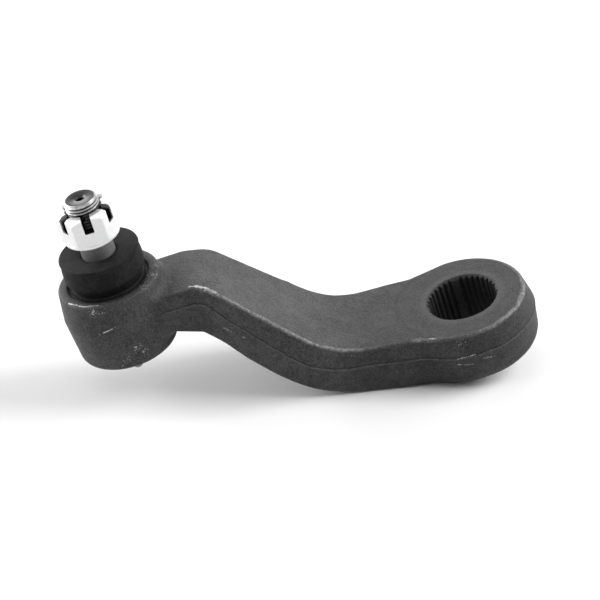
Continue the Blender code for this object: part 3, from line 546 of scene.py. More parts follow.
def slotted_nut(material):
    """The nut: rings r(a), z(a) that follow a hexagon under a coned top, and a round collar below.

    Each ring has a height for every angle, so the cone's edge is followed. Three bars cut the slots.
    """
    angle = np.linspace(0.0, 2 * math.pi, 240, endpoint=False)
    flat = hexagon(angle, NUT_FLATS, 70)
    edge = NUT_TOP - (flat - NUT_CONE) * NUT_CONE_SLOPE
    low = NUT_SEAT + np.maximum(1.45 * MM, 0.5 * MM + flat - NUT_COLLAR)
    at_collar = np.minimum(flat, NUT_COLLAR + 0.95 * MM)
    rings = [
        (NUT_BORE, NUT_TOP - 0.5 * MM),
        (NUT_BORE + 0.5 * MM, NUT_TOP),
        (NUT_CONE - NUT_SOFT, NUT_TOP),
        (NUT_CONE + NUT_SOFT, NUT_TOP - 1.7 * NUT_SOFT * NUT_CONE_SLOPE),
        (flat - NUT_SOFT, edge + NUT_SOFT * NUT_CONE_SLOPE),
    ]
    rings += [
        (flat, edge - NUT_SOFT + (low - edge + NUT_SOFT) * share)
        for share in np.linspace(0, 1, SIDE_STEPS)
    ]
    rings += [
        (np.maximum(at_collar, NUT_COLLAR), NUT_SEAT + 1.3 * MM),
        (NUT_COLLAR, NUT_SEAT + 1.15 * MM),
        (NUT_COLLAR, NUT_SEAT + 0.4 * MM),
        (NUT_COLLAR - 0.35 * MM, NUT_SEAT),
        (NUT_BORE + 0.6 * MM, NUT_SEAT),
        (NUT_BORE, NUT_SEAT + 0.6 * MM),
        (NUT_BORE, NUT_TOP - 0.5 * MM),
    ]
    grid = np.array([swept(r, angle, z) for r, z in rings])
    nut = shown("slotted_nut", weld(grid_mesh("slotted_nut", grid, wrap=True), outward=True))
    cut(nut, "DIFFERENCE", *[slot_bar(i) for i in range(3)])
    nut.data.transform(JOINT)
    finish(nut, "castle_nut", "stud", material, crease=24.0)


def slot_bar(i):
    """A bar across the nut: the slot's section, with small rounds at the bottom, carried along x."""
    corner = (SLOT_ROUNDING - SLOT_HALF_WIDTH, NUT_TOP - SLOT_DEPTH + SLOT_ROUNDING)
    bottom = arc(SLOT_ROUNDING, 180, 270, 5, corner)
    top = [(SLOT_HALF_WIDTH, NUT_TOP + PAST), (-SLOT_HALF_WIDTH, NUT_TOP + PAST)]
    section = np.array(bottom + [(-y, z) for y, z in bottom[::-1]] + top)
    ends = np.array([-SLOT_REACH, -SLOT_REACH, SLOT_REACH, SLOT_REACH])
    grid = np.array([np.column_stack([np.full(len(section), x), section]) for x in ends])
    grid[0] = grid[0].mean(0) * (1, 0, 1)
    grid[-1] = grid[-1].mean(0) * (1, 0, 1)
    mesh = weld(grid_mesh("slot_%d" % i, grid, wrap=True), outward=True)
    mesh.transform(Matrix.Rotation(NUT_TURN + i * math.pi / 3, 4, "Z"))
    return shown("slot_%d" % i, mesh)


def dust_boot(material):
    """The boot, turned: dished top, overhanging edge, skirt and foot outside, with the hollow inside."""
    profile = [(7.6, 26.3), (7.75, 26.6), (8.3, 26.9), (10.0, 27.25), (12.5, 27.4), (16.3, 27.45)]
    profile += [(16.9, 27.4), (17.2, 27.15), (17.3, 26.75), (17.2, 26.3), (16.95, 25.95), (16.9, 25.5)]
    profile += [(17.05, 24.6), (17.3, 23.0), (17.4, 21.0), (17.4, 19.0), (17.3, 18.1), (17.05, 17.4)]
    profile += [(16.6, 16.8), (16.1, 16.5), (15.6, 16.4), (15.4, 16.1), (15.4, 14.1), (15.1, 13.8)]
    profile += [(12.4, 13.8), (12.2, 14.0), (12.2, 23.9), (11.9, 24.3), (8.2, 24.3), (7.8, 24.6)]
    mesh = turned("boot", in_metres(profile), ring=True)
    mesh.transform(JOINT)
    boot = shown("boot", mesh)
    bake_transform(boot)
    finish(boot, "dust_boot", None, material, crease=50.0)


def grease_fitting(material):
    """Rings r(a), z: hexagon, neck and swollen head, and back up through the passage."""
    angle = np.linspace(0.0, 2 * math.pi, 96, endpoint=False)
    flat = hexagon(angle, FITTING_FLATS, 60)
    rings = in_metres([(0.6, -16.3), (3.0, -16.3), (3.0, -19.0), (3.9, -19.0)])
    rings += [(flat, -19.3 * MM), (flat, -23.2 * MM)]
    rings += in_metres([(3.9, -23.5), (2.1, -23.5), (2.1, -29.0), (2.5, -29.4), (3.15, -30.5)])
    rings += in_metres([(3.1, -30.9), (1.95, -33.4), (1.75, -33.6), (0.7, -33.6), (0.7, -32.8)])
    rings += in_metres([(1.35, -32.8), (1.35, -17.1), (0.6, -17.1), (0.6, -16.3)])
    grid = np.array([swept(r, angle, z) for r, z in rings])
    mesh = weld(grid_mesh("fitting", grid, wrap=True), outward=True)
    mesh.transform(JOINT)
    finish(shown("fitting", mesh), "grease_fitting", "arm", material)


def check_spring(material):
    """The coil behind the check ball, which the ball pushes together.

    The wire's circle is carried along a helix: with R the coil's radius and w the wire's, a point is
    ((R + w cos b) cos a, (R + w cos b) sin a, z(a) + w sin b). The ends close to a point.
    """
    around = np.linspace(0.0, 2 * math.pi, 10, endpoint=False)
    along = np.linspace(0.0, 2 * math.pi * SPRING_TURNS, SPRING_TURNS * 20 + 1)[:, None]
    height = SPRING_BOTTOM + (SPRING_TOP - SPRING_BOTTOM) * along / along[-1]
    thick = np.full(len(along), SPRING_WIRE)[:, None]
    thick[[0, -1]] = 0.0
    grid = swept(SPRING_COIL_RADIUS + thick * np.cos(around), along, height + thick * np.sin(around))
    mesh = weld(grid_mesh("check_spring", grid, wrap=True), outward=True)
    mesh.transform(JOINT)
    spring = finish(shown("check_spring", mesh), "fitting_spring", "arm", material)
    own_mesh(spring)


# Finishes


def node(tree, kind, inputs=None, **settings):
    """A shader node: inputs are sockets to link, or plain values."""
    made = tree.nodes.new("ShaderNode" + kind)
    for key, value in settings.items():
        setattr(made, key, value)
    for key, value in (inputs or {}).items():
        if isinstance(value, bpy.types.NodeSocket):
            tree.links.new(value, made.inputs[key])
        else:
            made.inputs[key].default_value = value
    return made


def new_finish(name, specular=0.5):
    """An empty finish: its node tree, the part's coordinates and the shader."""
    material = bpy.data.materials.new(name)
    material.use_nodes = True
    tree = material.node_tree
    shader = tree.nodes["Principled BSDF"]
    shader.inputs["Specular IOR Level"].default_value = specular
    place = tree.nodes.new("ShaderNodeTexCoord").outputs["Object"]
    return material, tree, place, shader


def group(name, inputs, outputs):
    """A node group with named inputs and outputs, and its two end nodes' sockets."""
    tree = bpy.data.node_groups.new(name, "ShaderNodeTree")
    for way, sockets in (("INPUT", inputs), ("OUTPUT", outputs)):
        for socket, kind, value in sockets:
            made = tree.interface.new_socket(socket, in_out=way, socket_type="NodeSocket" + kind)
            if value is not None:
                made.default_value = value
    start = tree.nodes.new("NodeGroupInput")
    return tree, start.outputs, tree.nodes.new("NodeGroupOutput").inputs


def use(tree, shared, inputs):
    """Puts a shared node group in a material."""
    made = tree.nodes.new("ShaderNodeGroup")
    made.node_tree = shared
    for key, value in inputs.items():
        if isinstance(value, bpy.types.NodeSocket):
            tree.links.new(value, made.inputs[key])
        else:
            made.inputs[key].default_value = value
    return made.outputs


def calc(tree, operation, a, b=0.0, c=0.0, clamp=False):
    """One sum on values, such as ADD, or MULTIPLY_ADD for a * b + c."""
    return node(tree, "Math", {0: a, 1: b, 2: c}, operation=operation, use_clamp=clamp).outputs[0]


def spread(tree, value, start, end, low=0.0, high=1.0):
    """Maps value from start..end to low..high, with soft ends."""
    ends = {"Value": value, "From Min": start, "From Max": end, "To Min": low, "To Max": high}
    return node(tree, "MapRange", ends, interpolation_type="SMOOTHSTEP").outputs["Result"]


def noise(tree, place, scale, detail=3.0, roughness=0.55):
    """Cloudy noise, 0 to 1; its features are 1 / scale metres across."""
    settings = {"Vector": place, "Scale": scale, "Detail": detail, "Roughness": roughness}
    return node(tree, "TexNoise", settings).outputs["Fac"]


def mixed(tree, share, first, second):
    """From the first colour to the second, by share."""
    return node(tree, "MixRGB", {"Fac": share, "Color1": first, "Color2": second}).outputs["Color"]


def vector(tree, operation, *values, output="Vector", **named):
    """One sum on vectors, such as their distance or their dot product."""
    made = node(tree, "VectorMath", {**dict(enumerate(values)), **named}, operation=operation)
    return made.outputs[output]


def product(tree, *values):
    """The values multiplied, from the left."""
    result = values[0]
    for value in values[1:]:
        result = calc(tree, "MULTIPLY", result, value)
    return result


def metres(point):
    """A point given in millimetres."""
    return [value * MM for value in point]


def grey(value, blue=0.0):
    """A grey with a little more blue, as steel and zinc have."""
    return (value, value, value + blue, 1.0)


def forged_skin():
    """A hot-forged surface: broad patches, a scale-pocked grain and small pits."""
    tree, given, made = group(
        "forged_skin",
        [("Vector", "Vector", None)],
        [("Tone", "Float", None), ("Height", "Float", None)],
    )
    place = given["Vector"]
    broad = noise(tree, place, 75.0)
    middle = noise(tree, place, 240.0, 2.0)
    grain = noise(tree, place, 1050.0, 3.0, 0.6)
    fine = noise(tree, place, 2100.0, 2.0)
    dots = node(tree, "TexVoronoi", {"Vector": place, "Scale": 520.0}).outputs["Distance"]
    pits = calc(tree, "MULTIPLY", spread(tree, dots, 0.1, 0.22, 1.0, 0.0), spread(tree, middle, 0.5, 0.62))
    tone = calc(tree, "MULTIPLY_ADD", broad, 0.2, calc(tree, "MULTIPLY", middle, 0.14))
    tone = calc(tree, "MULTIPLY_ADD", grain, 0.4, tone)
    tone = calc(tree, "MULTIPLY_ADD", fine, 0.26, tone)
    tree.links.new(calc(tree, "MULTIPLY_ADD", pits, -0.06, tone), made["Tone"])
    height = calc(tree, "MULTIPLY_ADD", grain, 0.6, calc(tree, "MULTIPLY", fine, 0.2))
    height = calc(tree, "MULTIPLY_ADD", middle, 0.5, height)
    tree.links.new(calc(tree, "MULTIPLY_ADD", pits, -0.5, height), made["Height"])
    return tree


def wear_and_shade_line():
    """A mask along a straight line, from Start to End, Width wide: rubbed wear, and painted shade along
    folds.
    """
    tree, given, made = group(
        "wear_and_shade_line",
        [
            ("Vector", "Vector", None),
            ("Start", "Vector", (0.0, 0.0, 0.0)),
            ("End", "Vector", (0.01, 0.0, 0.0)),
            ("Width", "Float", 0.0005),
            ("Break-up", "Float", 0.5),
        ],
        [("Mask", "Float", None)],
    )
    along = vector(tree, "SUBTRACT", given["End"], given["Start"])
    off = vector(tree, "SUBTRACT", given["Vector"], given["Start"])
    length = vector(tree, "DOT_PRODUCT", along, along, output="Value")
    done = vector(tree, "DOT_PRODUCT", off, along, output="Value")
    share = calc(tree, "DIVIDE", done, length, clamp=True)
    across = vector(tree, "SUBTRACT", off, vector(tree, "SCALE", along, Scale=share))
    away = vector(tree, "LENGTH", across, output="Value")
    uneven = calc(tree, "SUBTRACT", noise(tree, given["Vector"], 1100.0), 0.5)
    uneven = product(tree, uneven, given["Break-up"], 3.0)
    away = calc(tree, "ADD", calc(tree, "DIVIDE", away, given["Width"]), uneven)
    tree.links.new(spread(tree, away, 0.25, 0.6, 1.0, 0.0), made["Mask"])
    return tree


# How light the forging's tone is painted along x (millimetres), on the sides, on the housing and inside the
# bore: painted light on the slope that faces the lamps, painted shade near the housing, on the sides and in
# the bore
PAINTED_LIGHT_ALONG_X = [(-122, 0.6), (-113, 0.65), (-104, 1.3), (-62, 1.25), (-50, 0.95), (-30, 0.72), (31, 0.76)]
PAINTED_SIDE_SHADE = 0.82
HOUSING_COAT = 0.95
PAINTED_BORE_SHADE = 0.35

# Rubbed places: start, end, width (millimetres), how broken up, how bare
RUBBED = (
    ((-23.6, -20.7, 0.3), (-22.8, -21.8, 0.0), 1.1, 0.4, 1.0),
    ((-22.8, -21.8, 0.0), (-17.5, -23.4, 0.0), 0.7, 0.9, 0.8),
    ((-21.3, -8.6, 0.0), (-20.6, -9.4, 0.0), 0.5, 0.8, 0.5),
    ((-157.9, -11.4, 66.5), (-152.3, -17.0, 66.4), 0.7, 0.6, 0.75),
    ((-152.3, -17.0, 66.4), (-146.0, -19.4, 66.2), 0.8, 0.5, 0.85),
    ((-149.9, -21.3, 53.5), (-147.8, -22.0, 54.3), 0.4, 1.0, 0.5),
    ((-147.8, -22.0, 54.3), (-143.9, -22.7, 55.2), 0.5, 0.6, 0.9),
    ((-143.9, -22.7, 55.2), (-141.8, -22.9, 55.9), 0.4, 1.0, 0.5),
    ((-100.7, -18.1, 35.4), (-93.3, -21.1, 29.1), 0.6, 1.1, 0.6),
    ((-10.9, -28.4, -10.6), (-3.4, -29.9, -10.0), 0.5, 1.0, 0.8),
    ((-11.5, -27.5, -13.9), (-5.4, -29.0, -15.2), 0.45, 1.1, 0.6),
    ((-0.2, -29.8, -13.2), (4.6, -29.3, -14.4), 0.45, 1.0, 0.6),
    ((-108.5, -13.4, 57.2), (-106.0, -13.8, 56.9), 1.1, 0.7, 0.7),
    ((-106.0, -13.8, 56.9), (-102.4, -15.5, 55.6), 1.7, 0.5, 0.95),
    ((-102.4, -15.5, 55.6), (-99.0, -17.5, 53.4), 1.5, 0.6, 0.7),
)
# Painted shade along folds and hollows, in the concave fillet by the housing and below the crank's edge:
# start, end, width (millimetres), how broken up, how dark
PAINTED_SHADE_LINES = (
    ((-58.4, -23.7, 6.5), (-46.7, -23.4, -0.1), 0.6, 0.6, 0.5),
    ((-46.7, -23.4, -0.1), (-34.3, -23.5, -4.0), 0.6, 0.6, 0.5),
    ((4.8, -29.0, -16.5), (9.4, -28.0, -15.6), 0.5, 0.6, 0.6),
    ((-126.0, -18.2, 58.0), (-125.0, -18.0, 49.0), 5.0, 0.6, 0.4),
    ((-118.5, -16.0, 57.5), (-106.0, -15.5, 55.0), 2.6, 0.6, 0.45),
)
# Speckled places: centre, radius (millimetres), how bare
SPECKLED = (
    ((-148.5, -20.5, 64.6), 3.5, 0.75),
    ((-144.7, -21.7, 63.4), 2.5, 0.6),
    ((-136.9, -22.0, 42.3), 2.8, 0.7),
    ((-134.6, -20.9, 38.5), 2.5, 0.6),
    ((-143.5, -21.6, 37.0), 3.5, 0.5),
    ((-119.6, -2.0, 65.4), 3.6, 0.4),
    ((-121.0, -8.6, 65.4), 3.6, 0.5),
    ((-125.0, -15.0, 65.4), 3.4, 0.4),
    ((-7.8, -28.2, -2.5), 3.5, 0.45),
)
# The forging's colours: the coating from its darkest grain to its lightest, the painted shade's colour, the
# painted highlight on the ring round the bore, and the bare steel that shows through
COAT_TONES = (grey(0.012, 0.0003), grey(0.066, 0.0005))
PAINTED_SHADE_COLOUR = grey(0.006)
PAINTED_RING_HIGHLIGHT = grey(0.12)
BARE_STEEL = grey(0.36)
# radius of the painted shade of a crease beside the eye
PAINTED_CREASE_RADIUS = 30.8 * MM


def speckled_patch():
    """Bare specks that thin out from Centre to Radius."""
    tree, given, made = group(
        "speckled_patch",
        [
            ("Vector", "Vector", None),
            ("Centre", "Vector", (0.0, 0.0, 0.0)),
            ("Radius", "Float", 0.003),
        ],
        [("Mask", "Float", None)],
    )
    off = vector(tree, "DISTANCE", given["Vector"], given["Centre"], output="Value")
    share = calc(tree, "DIVIDE", off, given["Radius"])
    grain = noise(tree, given["Vector"], 1250.0, 2.0)
    left = calc(tree, "SUBTRACT", grain, calc(tree, "MULTIPLY", share, 0.14))
    tree.links.new(spread(tree, left, 0.5, 0.6), made["Mask"])
    return tree


WEAR_AND_SHADE_LINE = wear_and_shade_line()
SPECKLED_PATCH = speckled_patch()


def along_lines(tree, place, lines, start):
    """The strongest of start and the lines' masks; each line has start, end, width, break-up, strength."""
    strongest = start
    for begin, end, width, broken, strength in lines:
        settings = {"Vector": place, "Start": metres(begin), "End": metres(end)}
        settings.update({"Width": width * MM, "Break-up": broken})
        mask = calc(tree, "MULTIPLY", use(tree, WEAR_AND_SHADE_LINE, settings)["Mask"], strength)
        strongest = calc(tree, "MAXIMUM", strongest, mask)
    return strongest


def in_patches(tree, place, patches, start):
    """The strongest of start and the patches' masks; each patch has a centre, radius and strength."""
    strongest = start
    for centre, radius, strength in patches:
        settings = {"Vector": place, "Centre": metres(centre), "Radius": radius * MM}
        mask = calc(tree, "MULTIPLY", use(tree, SPECKLED_PATCH, settings)["Mask"], strength)
        strongest = calc(tree, "MAXIMUM", strongest, mask)
    return strongest


def forged_finish():
    """Thin dark coat over forged skin, rubbed to bare steel on the upper edge and along a few lines."""
    material, tree, place, shader = new_finish("forged_dark", specular=0.25)
    skin = use(tree, forged_skin(), {"Vector": place})

    def noted(name):
        return node(tree, "Attribute", attribute_name=name).outputs["Fac"]

    uneven = noise(tree, place, 900.0, 3.0, 0.65)
    patchy = noise(tree, place, 190.0, 2.0)
    clear = noted("seam_clear")

    # Bare steel: the upper edge, the specks and the rubbed lines; and a light lip below the parting line,
    # partly bare and partly a painted highlight of its ledge
    shift = calc(tree, "MULTIPLY_ADD", patchy, 1.6, -1.1)
    band = calc(tree, "ABSOLUTE", calc(tree, "ADD", noted("edge_mm"), shift))
    band = calc(tree, "MULTIPLY", spread(tree, band, 0.5, 1.9, 1.0, 0.0), noted("edge_wear"))
    chips = spread(tree, uneven, 0.38, 0.64, 0.35, 1.0)
    worn = calc(tree, "MULTIPLY", band, chips, clamp=True)
    worn = along_lines(tree, place, RUBBED, in_patches(tree, place, SPECKLED, worn))
    seam = calc(tree, "SUBTRACT", noted("seam_mm"), 0.8)
    seam = calc(tree, "MULTIPLY_ADD", noise(tree, place, 130.0, 2.0), 1.6, seam)
    # painted highlight of the ledge below the parting line, also bare steel
    lip = spread(tree, calc(tree, "ABSOLUTE", calc(tree, "ADD", seam, 0.45)), 0.1, 0.6, 0.35, 0.0)
    lip = product(tree, lip, clear, spread(tree, uneven, 0.35, 0.6), 0.4)
    worn = calc(tree, "MAXIMUM", worn, lip)

    # Painted shade: in the parting line's groove, along the crease beside the eye, round the boot's foot
    # where the skirt shades the rim, and in folds
    # painted shade in the parting line's groove
    groove = calc(tree, "ABSOLUTE", calc(tree, "SUBTRACT", seam, 0.4))
    groove = spread(tree, groove, 0.1, 0.55, 0.75, 0.0)
    groove = product(tree, groove, clear, spread(tree, patchy, 0.3, 0.65, 0.3, 1.0))
    parts = node(tree, "SeparateXYZ", {"Vector": place}).outputs
    flat = node(tree, "CombineXYZ", {"X": parts["X"], "Y": parts["Y"]}).outputs[0]
    from_bore = vector(tree, "LENGTH", flat, output="Value")
    from_bore = calc(tree, "MULTIPLY_ADD", noise(tree, place, 170.0, 2.0), 3 * MM, from_bore)
    # painted shade of a crease arc beside the eye, in colour only
    crease = calc(tree, "ABSOLUTE", calc(tree, "SUBTRACT", from_bore, PAINTED_CREASE_RADIUS))
    crease = spread(tree, crease, 0.2 * MM, 1.2 * MM, 0.35, 0.0)
    crease = calc(tree, "MULTIPLY", crease, spread(tree, parts["X"], -12 * MM, -18 * MM))
    # painted shadow of the boot's skirt on the housing round its foot
    boot_foot = JOINT @ Vector((0.0, 0.0, RIM_HEIGHT))
    from_boot = vector(tree, "DISTANCE", place, boot_foot, output="Value")
    from_boot = calc(tree, "MULTIPLY_ADD", noise(tree, place, 260.0, 2.0), 1.6 * MM, from_boot)
    painted_boot_shadow = spread(tree, from_boot, 19.6 * MM, 20.6 * MM, 0.85, 0.0)
    shade = calc(tree, "MAXIMUM", calc(tree, "MAXIMUM", groove, painted_boot_shadow), crease)
    # painted shade along folds and hollows
    shade = along_lines(tree, place, PAINTED_SHADE_LINES, shade)

    # Painted highlight: a lighter ring on the top face round the bore
    ring = spread(tree, from_bore, 19.5 * MM, 21.5 * MM, 0.16, 0.0)
    ring = calc(tree, "MULTIPLY", ring, spread(tree, parts["Z"], -1.0 * MM, -0.3 * MM))

    tone = node(tree, "ValToRGB", {"Fac": skin["Tone"]})
    for stop, position, colour in zip(tone.color_ramp.elements, (0.4, 0.6), COAT_TONES):
        stop.position, stop.color = position, colour
    # the tone carries painted light and shade along the arm, on its sides and in the bore
    coating_with_painted_light = vector(tree, "SCALE", tone.outputs["Color"], Scale=noted("tone_and_painted_light"))
    colour = mixed(tree, shade, coating_with_painted_light, PAINTED_SHADE_COLOUR)
    colour = mixed(tree, ring, colour, PAINTED_RING_HIGHLIGHT)
    colour = mixed(tree, worn, colour, BARE_STEEL)
    bump = node(tree, "Bump", {"Height": skin["Height"], "Strength": 1.0, "Distance": 0.45 * MM})
    tree.links.new(colour, shader.inputs["Base Color"])
    tree.links.new(calc(tree, "MULTIPLY", worn, 0.8), shader.inputs["Metallic"])
    tree.links.new(spread(tree, worn, 0.0, 1.0, 0.6, 0.38), shader.inputs["Roughness"])
    tree.links.new(bump.outputs["Normal"], shader.inputs["Normal"])
    return material


def joint_place():
    """Where a point lies on the joint: its height from the ball and its distance from the stud's axis."""
    tree, given, made = group(
        "joint_place",
        [("Vector", "Vector", None)],
        [("Height", "Float", None), ("Radius", "Float", None)],
    )
    along = JOINT.to_3x3() @ Vector((0.0, 0.0, 1.0))
    from_ball = vector(tree, "SUBTRACT", given["Vector"], JOINT.translation)
    height = vector(tree, "DOT_PRODUCT", from_ball, along, output="Value")
    across = vector(tree, "CROSS_PRODUCT", from_ball, along)
    radius = vector(tree, "LENGTH", across, output="Value")
    tree.links.new(calc(tree, "DIVIDE", height, MM), made["Height"])
    tree.links.new(calc(tree, "DIVIDE", radius, MM), made["Radius"])
    return tree


def stud_finish(joint):
    """Turned steel: dark end face, painted highlights on the crests of the thread above the nut and on the
    end's bevel rim, painted shade on the thread towards and inside the nut, pale taper.
    """
    material, tree, place, shader = new_finish("stud_steel")
    at = use(tree, joint, {"Vector": place})
    grain = noise(tree, place, 900.0)
    # painted shade: the thread darkens towards and inside the nut
    free = spread(tree, calc(tree, "ADD", at["Height"], grain), 49.4, 50.8)
    crest = spread(tree, at["Radius"], 6.5, 7.0)
    bevel = spread(tree, at["Height"], 52.5, 52.9)
    rim = spread(tree, at["Radius"], 6.0, 6.3)
    taper = spread(tree, at["Height"], 34.0, 35.0, 1.0, 0.0)
    # painted highlights on the thread's crests and the end's bevel rim
    edge = calc(tree, "MAXIMUM", crest, calc(tree, "MULTIPLY", bevel, rim))
    bright = product(tree, free, edge, spread(tree, grain, 0.3, 0.7, 0.45, 0.8))
    bright = calc(tree, "MAXIMUM", bright, calc(tree, "MULTIPLY", taper, 0.5))
    colour = mixed(tree, bright, grey(0.03, 0.001), grey(0.46, 0.005))
    tree.links.new(calc(tree, "MULTIPLY_ADD", taper, -0.5, 0.9), shader.inputs["Metallic"])
    tree.links.new(colour, shader.inputs["Base Color"])
    tree.links.new(calc(tree, "MULTIPLY_ADD", taper, 0.06, 0.36), shader.inputs["Roughness"])
    return material


def nut_finish(joint):
    """Bright zinc plate outside, with painted shade in the thread and low in the slots."""
    material, tree, place, shader = new_finish("bright_zinc")
    at = use(tree, joint, {"Vector": place})
    grain = noise(tree, place, 600.0)
    # painted shade inside the nut: in the thread and low in the slots
    inside = spread(tree, calc(tree, "ADD", at["Radius"], grain), 11.0, 11.6, 1.0, 0.0)
    below_top = spread(tree, at["Height"], 46.2, 48.4, 1.0, 0.0)
    above_seat = spread(tree, at["Height"], 35.2, 36.0)
    plate = mixed(tree, grain, grey(0.62, 0.005), grey(0.76, 0.005))
    colour = mixed(tree, product(tree, inside, below_top, above_seat), plate, grey(0.012))
    shader.inputs["Metallic"].default_value = 0.75
    tree.links.new(colour, shader.inputs["Base Color"])
    tree.links.new(spread(tree, grain, 0.3, 0.7, 0.38, 0.46), shader.inputs["Roughness"])
    return material


def rubber_finish():
    """Matt moulded rubber, with fine pores and a few dusty patches."""
    material, tree, place, shader = new_finish("boot_rubber", specular=0.15)
    pores = noise(tree, place, 1300.0, 3.0)
    dust = noise(tree, place, 160.0, 3.0, 0.6)
    tone = calc(tree, "MULTIPLY_ADD", pores, 0.5, calc(tree, "MULTIPLY", dust, 0.5))
    colour = mixed(tree, spread(tree, tone, 0.4, 0.62), grey(0.003), grey(0.013))
    bump = node(tree, "Bump", {"Height": pores, "Strength": 0.5, "Distance": 0.15 * MM})
    shader.inputs["Roughness"].default_value = 0.75
    tree.links.new(colour, shader.inputs["Base Color"])
    tree.links.new(bump.outputs["Normal"], shader.inputs["Normal"])
    return material


def plain_finish(name, colour, roughness, metallic):
    """Fine uneven gloss and tone, for the grease fitting and the pieces inside the joint."""
    material, tree, place, shader = new_finish(name)
    grain = noise(tree, place, 900.0, 4.0, 0.5)
    dark, light = ([min(c * share, 1.0) for c in colour] for share in (0.75, 1.25))
    tone = mixed(tree, grain, (*dark, 1.0), (*light, 1.0))
    ends = {"Value": grain, "To Min": roughness - 0.12, "To Max": roughness + 0.12}
    gloss = node(tree, "MapRange", ends)
    bump = node(tree, "Bump", {"Height": grain, "Strength": 0.2, "Distance": 0.05 * MM})
    shader.inputs["Metallic"].default_value = metallic
    tree.links.new(tone, shader.inputs["Base Color"])
    tree.links.new(gloss.outputs["Result"], shader.inputs["Roughness"])
    tree.links.new(bump.outputs["Normal"], shader.inputs["Normal"])
    return material


# The table, the light and the camera


TABLE_UP = Vector((0.274, 0.0, 0.962)).normalized()
TABLE_HALF_WIDTH = 4.0
TABLE_WHITE = 0.95
ROOM_FILL = 0.13
LAMP_TARGET = Vector((-0.06, 0.0, 0.02))
# Each lamp's name, place, width and height (metres), and power (watts)
SOFTBOXES = (
    ("ceiling", (-0.05, 0.0, 1.3), (1.4, 1.2), 3.5),
    ("behind_low", (0.0, 1.3, 0.35), (1.6, 0.5), 8.2),
    ("left", (-1.2, -0.1, 0.6), (0.8, 1.0), 8.2),
    ("left_behind", (-1.0, 0.8, 0.6), (0.8, 0.8), 19.9),
    ("right", (1.2, -0.1, 0.6), (0.8, 1.0), 18.5),
    ("right_low", (1.3, 0.3, 0.25), (0.8, 0.4), 5.4),
)
# The photograph's view: angles, how far the part lies off the line of sight, and the distance to it
VIEW_TURN, VIEW_RISE, VIEW_ROLL = (math.radians(a) for a in (1.364, 33.604, 18.98))
VIEW_RIGHT, VIEW_UP, VIEW_DISTANCE = 70.496, 1.53, 883.833
LENS, SENSOR_WIDTH, NEAREST = 121.74, 36.0, 0.01


def lay_on_table(arm):
    """The table touches the arm's lowest points along the table's own upward direction."""
    points = np.zeros(len(arm.data.vertices) * 3)
    arm.data.vertices.foreach_get("co", points)
    low = (points.reshape(-1, 3) @ np.array(TABLE_UP)).min()
    half = TABLE_HALF_WIDTH
    corners = [(-half, -half, 0), (half, -half, 0), (half, half, 0), (-half, half, 0)]
    mesh = bpy.data.meshes.new("table")
    mesh.from_pydata(corners, [], [(0, 1, 2, 3)])
    tilt = TABLE_UP.to_track_quat("Z", "Y").to_matrix().to_4x4()
    mesh.transform(Matrix.Translation(TABLE_UP * low) @ tilt)
    material, tree, _, shader = new_finish("white_table", specular=0.0)
    shader.inputs["Base Color"].default_value = grey(TABLE_WHITE)
    shader.inputs["Roughness"].default_value = 1.0
    clear = tree.nodes.new("ShaderNodeBsdfTransparent").outputs["BSDF"]
    from_below = tree.nodes.new("ShaderNodeNewGeometry").outputs["Backfacing"]
    mix = node(tree, "MixShader", {"Fac": from_below, 1: shader.outputs["BSDF"], 2: clear})
    tree.links.new(mix.outputs["Shader"], tree.nodes["Material Output"].inputs["Surface"])
    mesh.materials.append(material)
    shown("table", mesh)


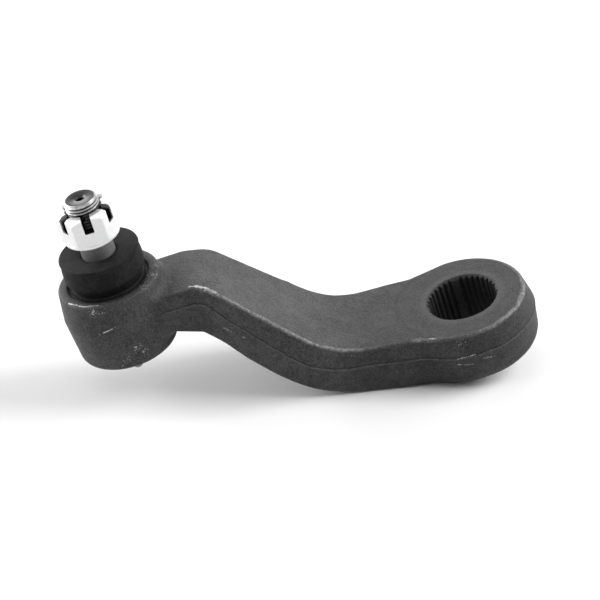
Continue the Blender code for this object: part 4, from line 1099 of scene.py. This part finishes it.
def light_the_room():
    """Six soft lamps that face the part, a faint fill, and white wherever the room itself is seen."""
    for name, place, size, power in SOFTBOXES:
        light = bpy.data.lights.new(name, "AREA")
        light.shape = "RECTANGLE"
        light.size, light.size_y = size
        light.energy = power
        softbox = shown(name, light)
        softbox.location = place
        softbox.rotation_euler = (Vector(place) - LAMP_TARGET).to_track_quat("Z", "Y").to_euler()
    world = bpy.data.worlds.new("room")
    bpy.context.scene.world = world
    world.use_nodes = True
    tree = world.node_tree
    path = tree.nodes.new("ShaderNodeLightPath").outputs
    seen = calc(tree, "MAXIMUM", path["Is Camera Ray"], path["Is Glossy Ray"])
    seen = calc(tree, "MAXIMUM", seen, path["Is Transmission Ray"])
    strength = node(tree, "MapRange", {"Value": seen, "To Min": ROOM_FILL, "To Max": 1.0})
    background = tree.nodes["Background"]
    background.inputs["Color"].default_value = grey(1.0)
    tree.links.new(strength.outputs["Result"], background.inputs["Strength"])


def set_camera():
    """The view is turned, raised and rolled about the line of sight, then moved back along it."""
    turn, rise, roll = VIEW_TURN, VIEW_RISE, VIEW_ROLL
    back = Vector((math.sin(turn) * math.cos(rise), -math.cos(turn) * math.cos(rise), math.sin(rise)))
    level = Vector((math.cos(turn), math.sin(turn), 0.0))
    upright = back.cross(level)
    right = math.cos(roll) * level - math.sin(roll) * upright
    up = math.sin(roll) * level + math.cos(roll) * upright
    data = bpy.data.cameras.new("camera")
    data.lens, data.sensor_width, data.clip_start = LENS, SENSOR_WIDTH, NEAREST
    camera = shown("camera", data)
    camera.matrix_world = Matrix((right, up, back)).transposed().to_4x4()
    camera.matrix_world.translation = -(right * VIEW_RIGHT + up * VIEW_UP - back * VIEW_DISTANCE) * MM
    bpy.context.scene.camera = camera


bpy.context.scene.view_settings.view_transform = "Standard"
set_camera()

forged = forged_finish()
joint = joint_place()
stud_steel = stud_finish(joint)
zinc = nut_finish(joint)
dull_zinc = plain_finish("dull_zinc", (0.3, 0.3, 0.305), 0.5, 0.7)
rubber = rubber_finish()
nylon = plain_finish("bearing_nylon", (0.75, 0.73, 0.66), 0.5, 0.0)
sintered = plain_finish("sintered_steel", (0.3, 0.28, 0.25), 0.6, 0.9)
spring = plain_finish("oiled_spring", (0.25, 0.26, 0.28), 0.35, 1.0)
cover = plain_finish("pressed_cover", (0.12, 0.12, 0.125), 0.5, 0.6)

arm = forge_arm(forged)
ball_stud(stud_steel)
slotted_nut(zinc)
dust_boot(rubber)
grease_fitting(dull_zinc)
check_spring(spring)

for name, material in (
    ("upper_bearing", nylon),
    ("lower_seat", sintered),
    ("preload_spring", spring),
    ("cover_plate", cover),
    ("fitting_ball", spring),
):
    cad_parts[name].data.materials.clear()
    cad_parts[name].data.materials.append(material)

lay_on_table(arm)
light_the_room()
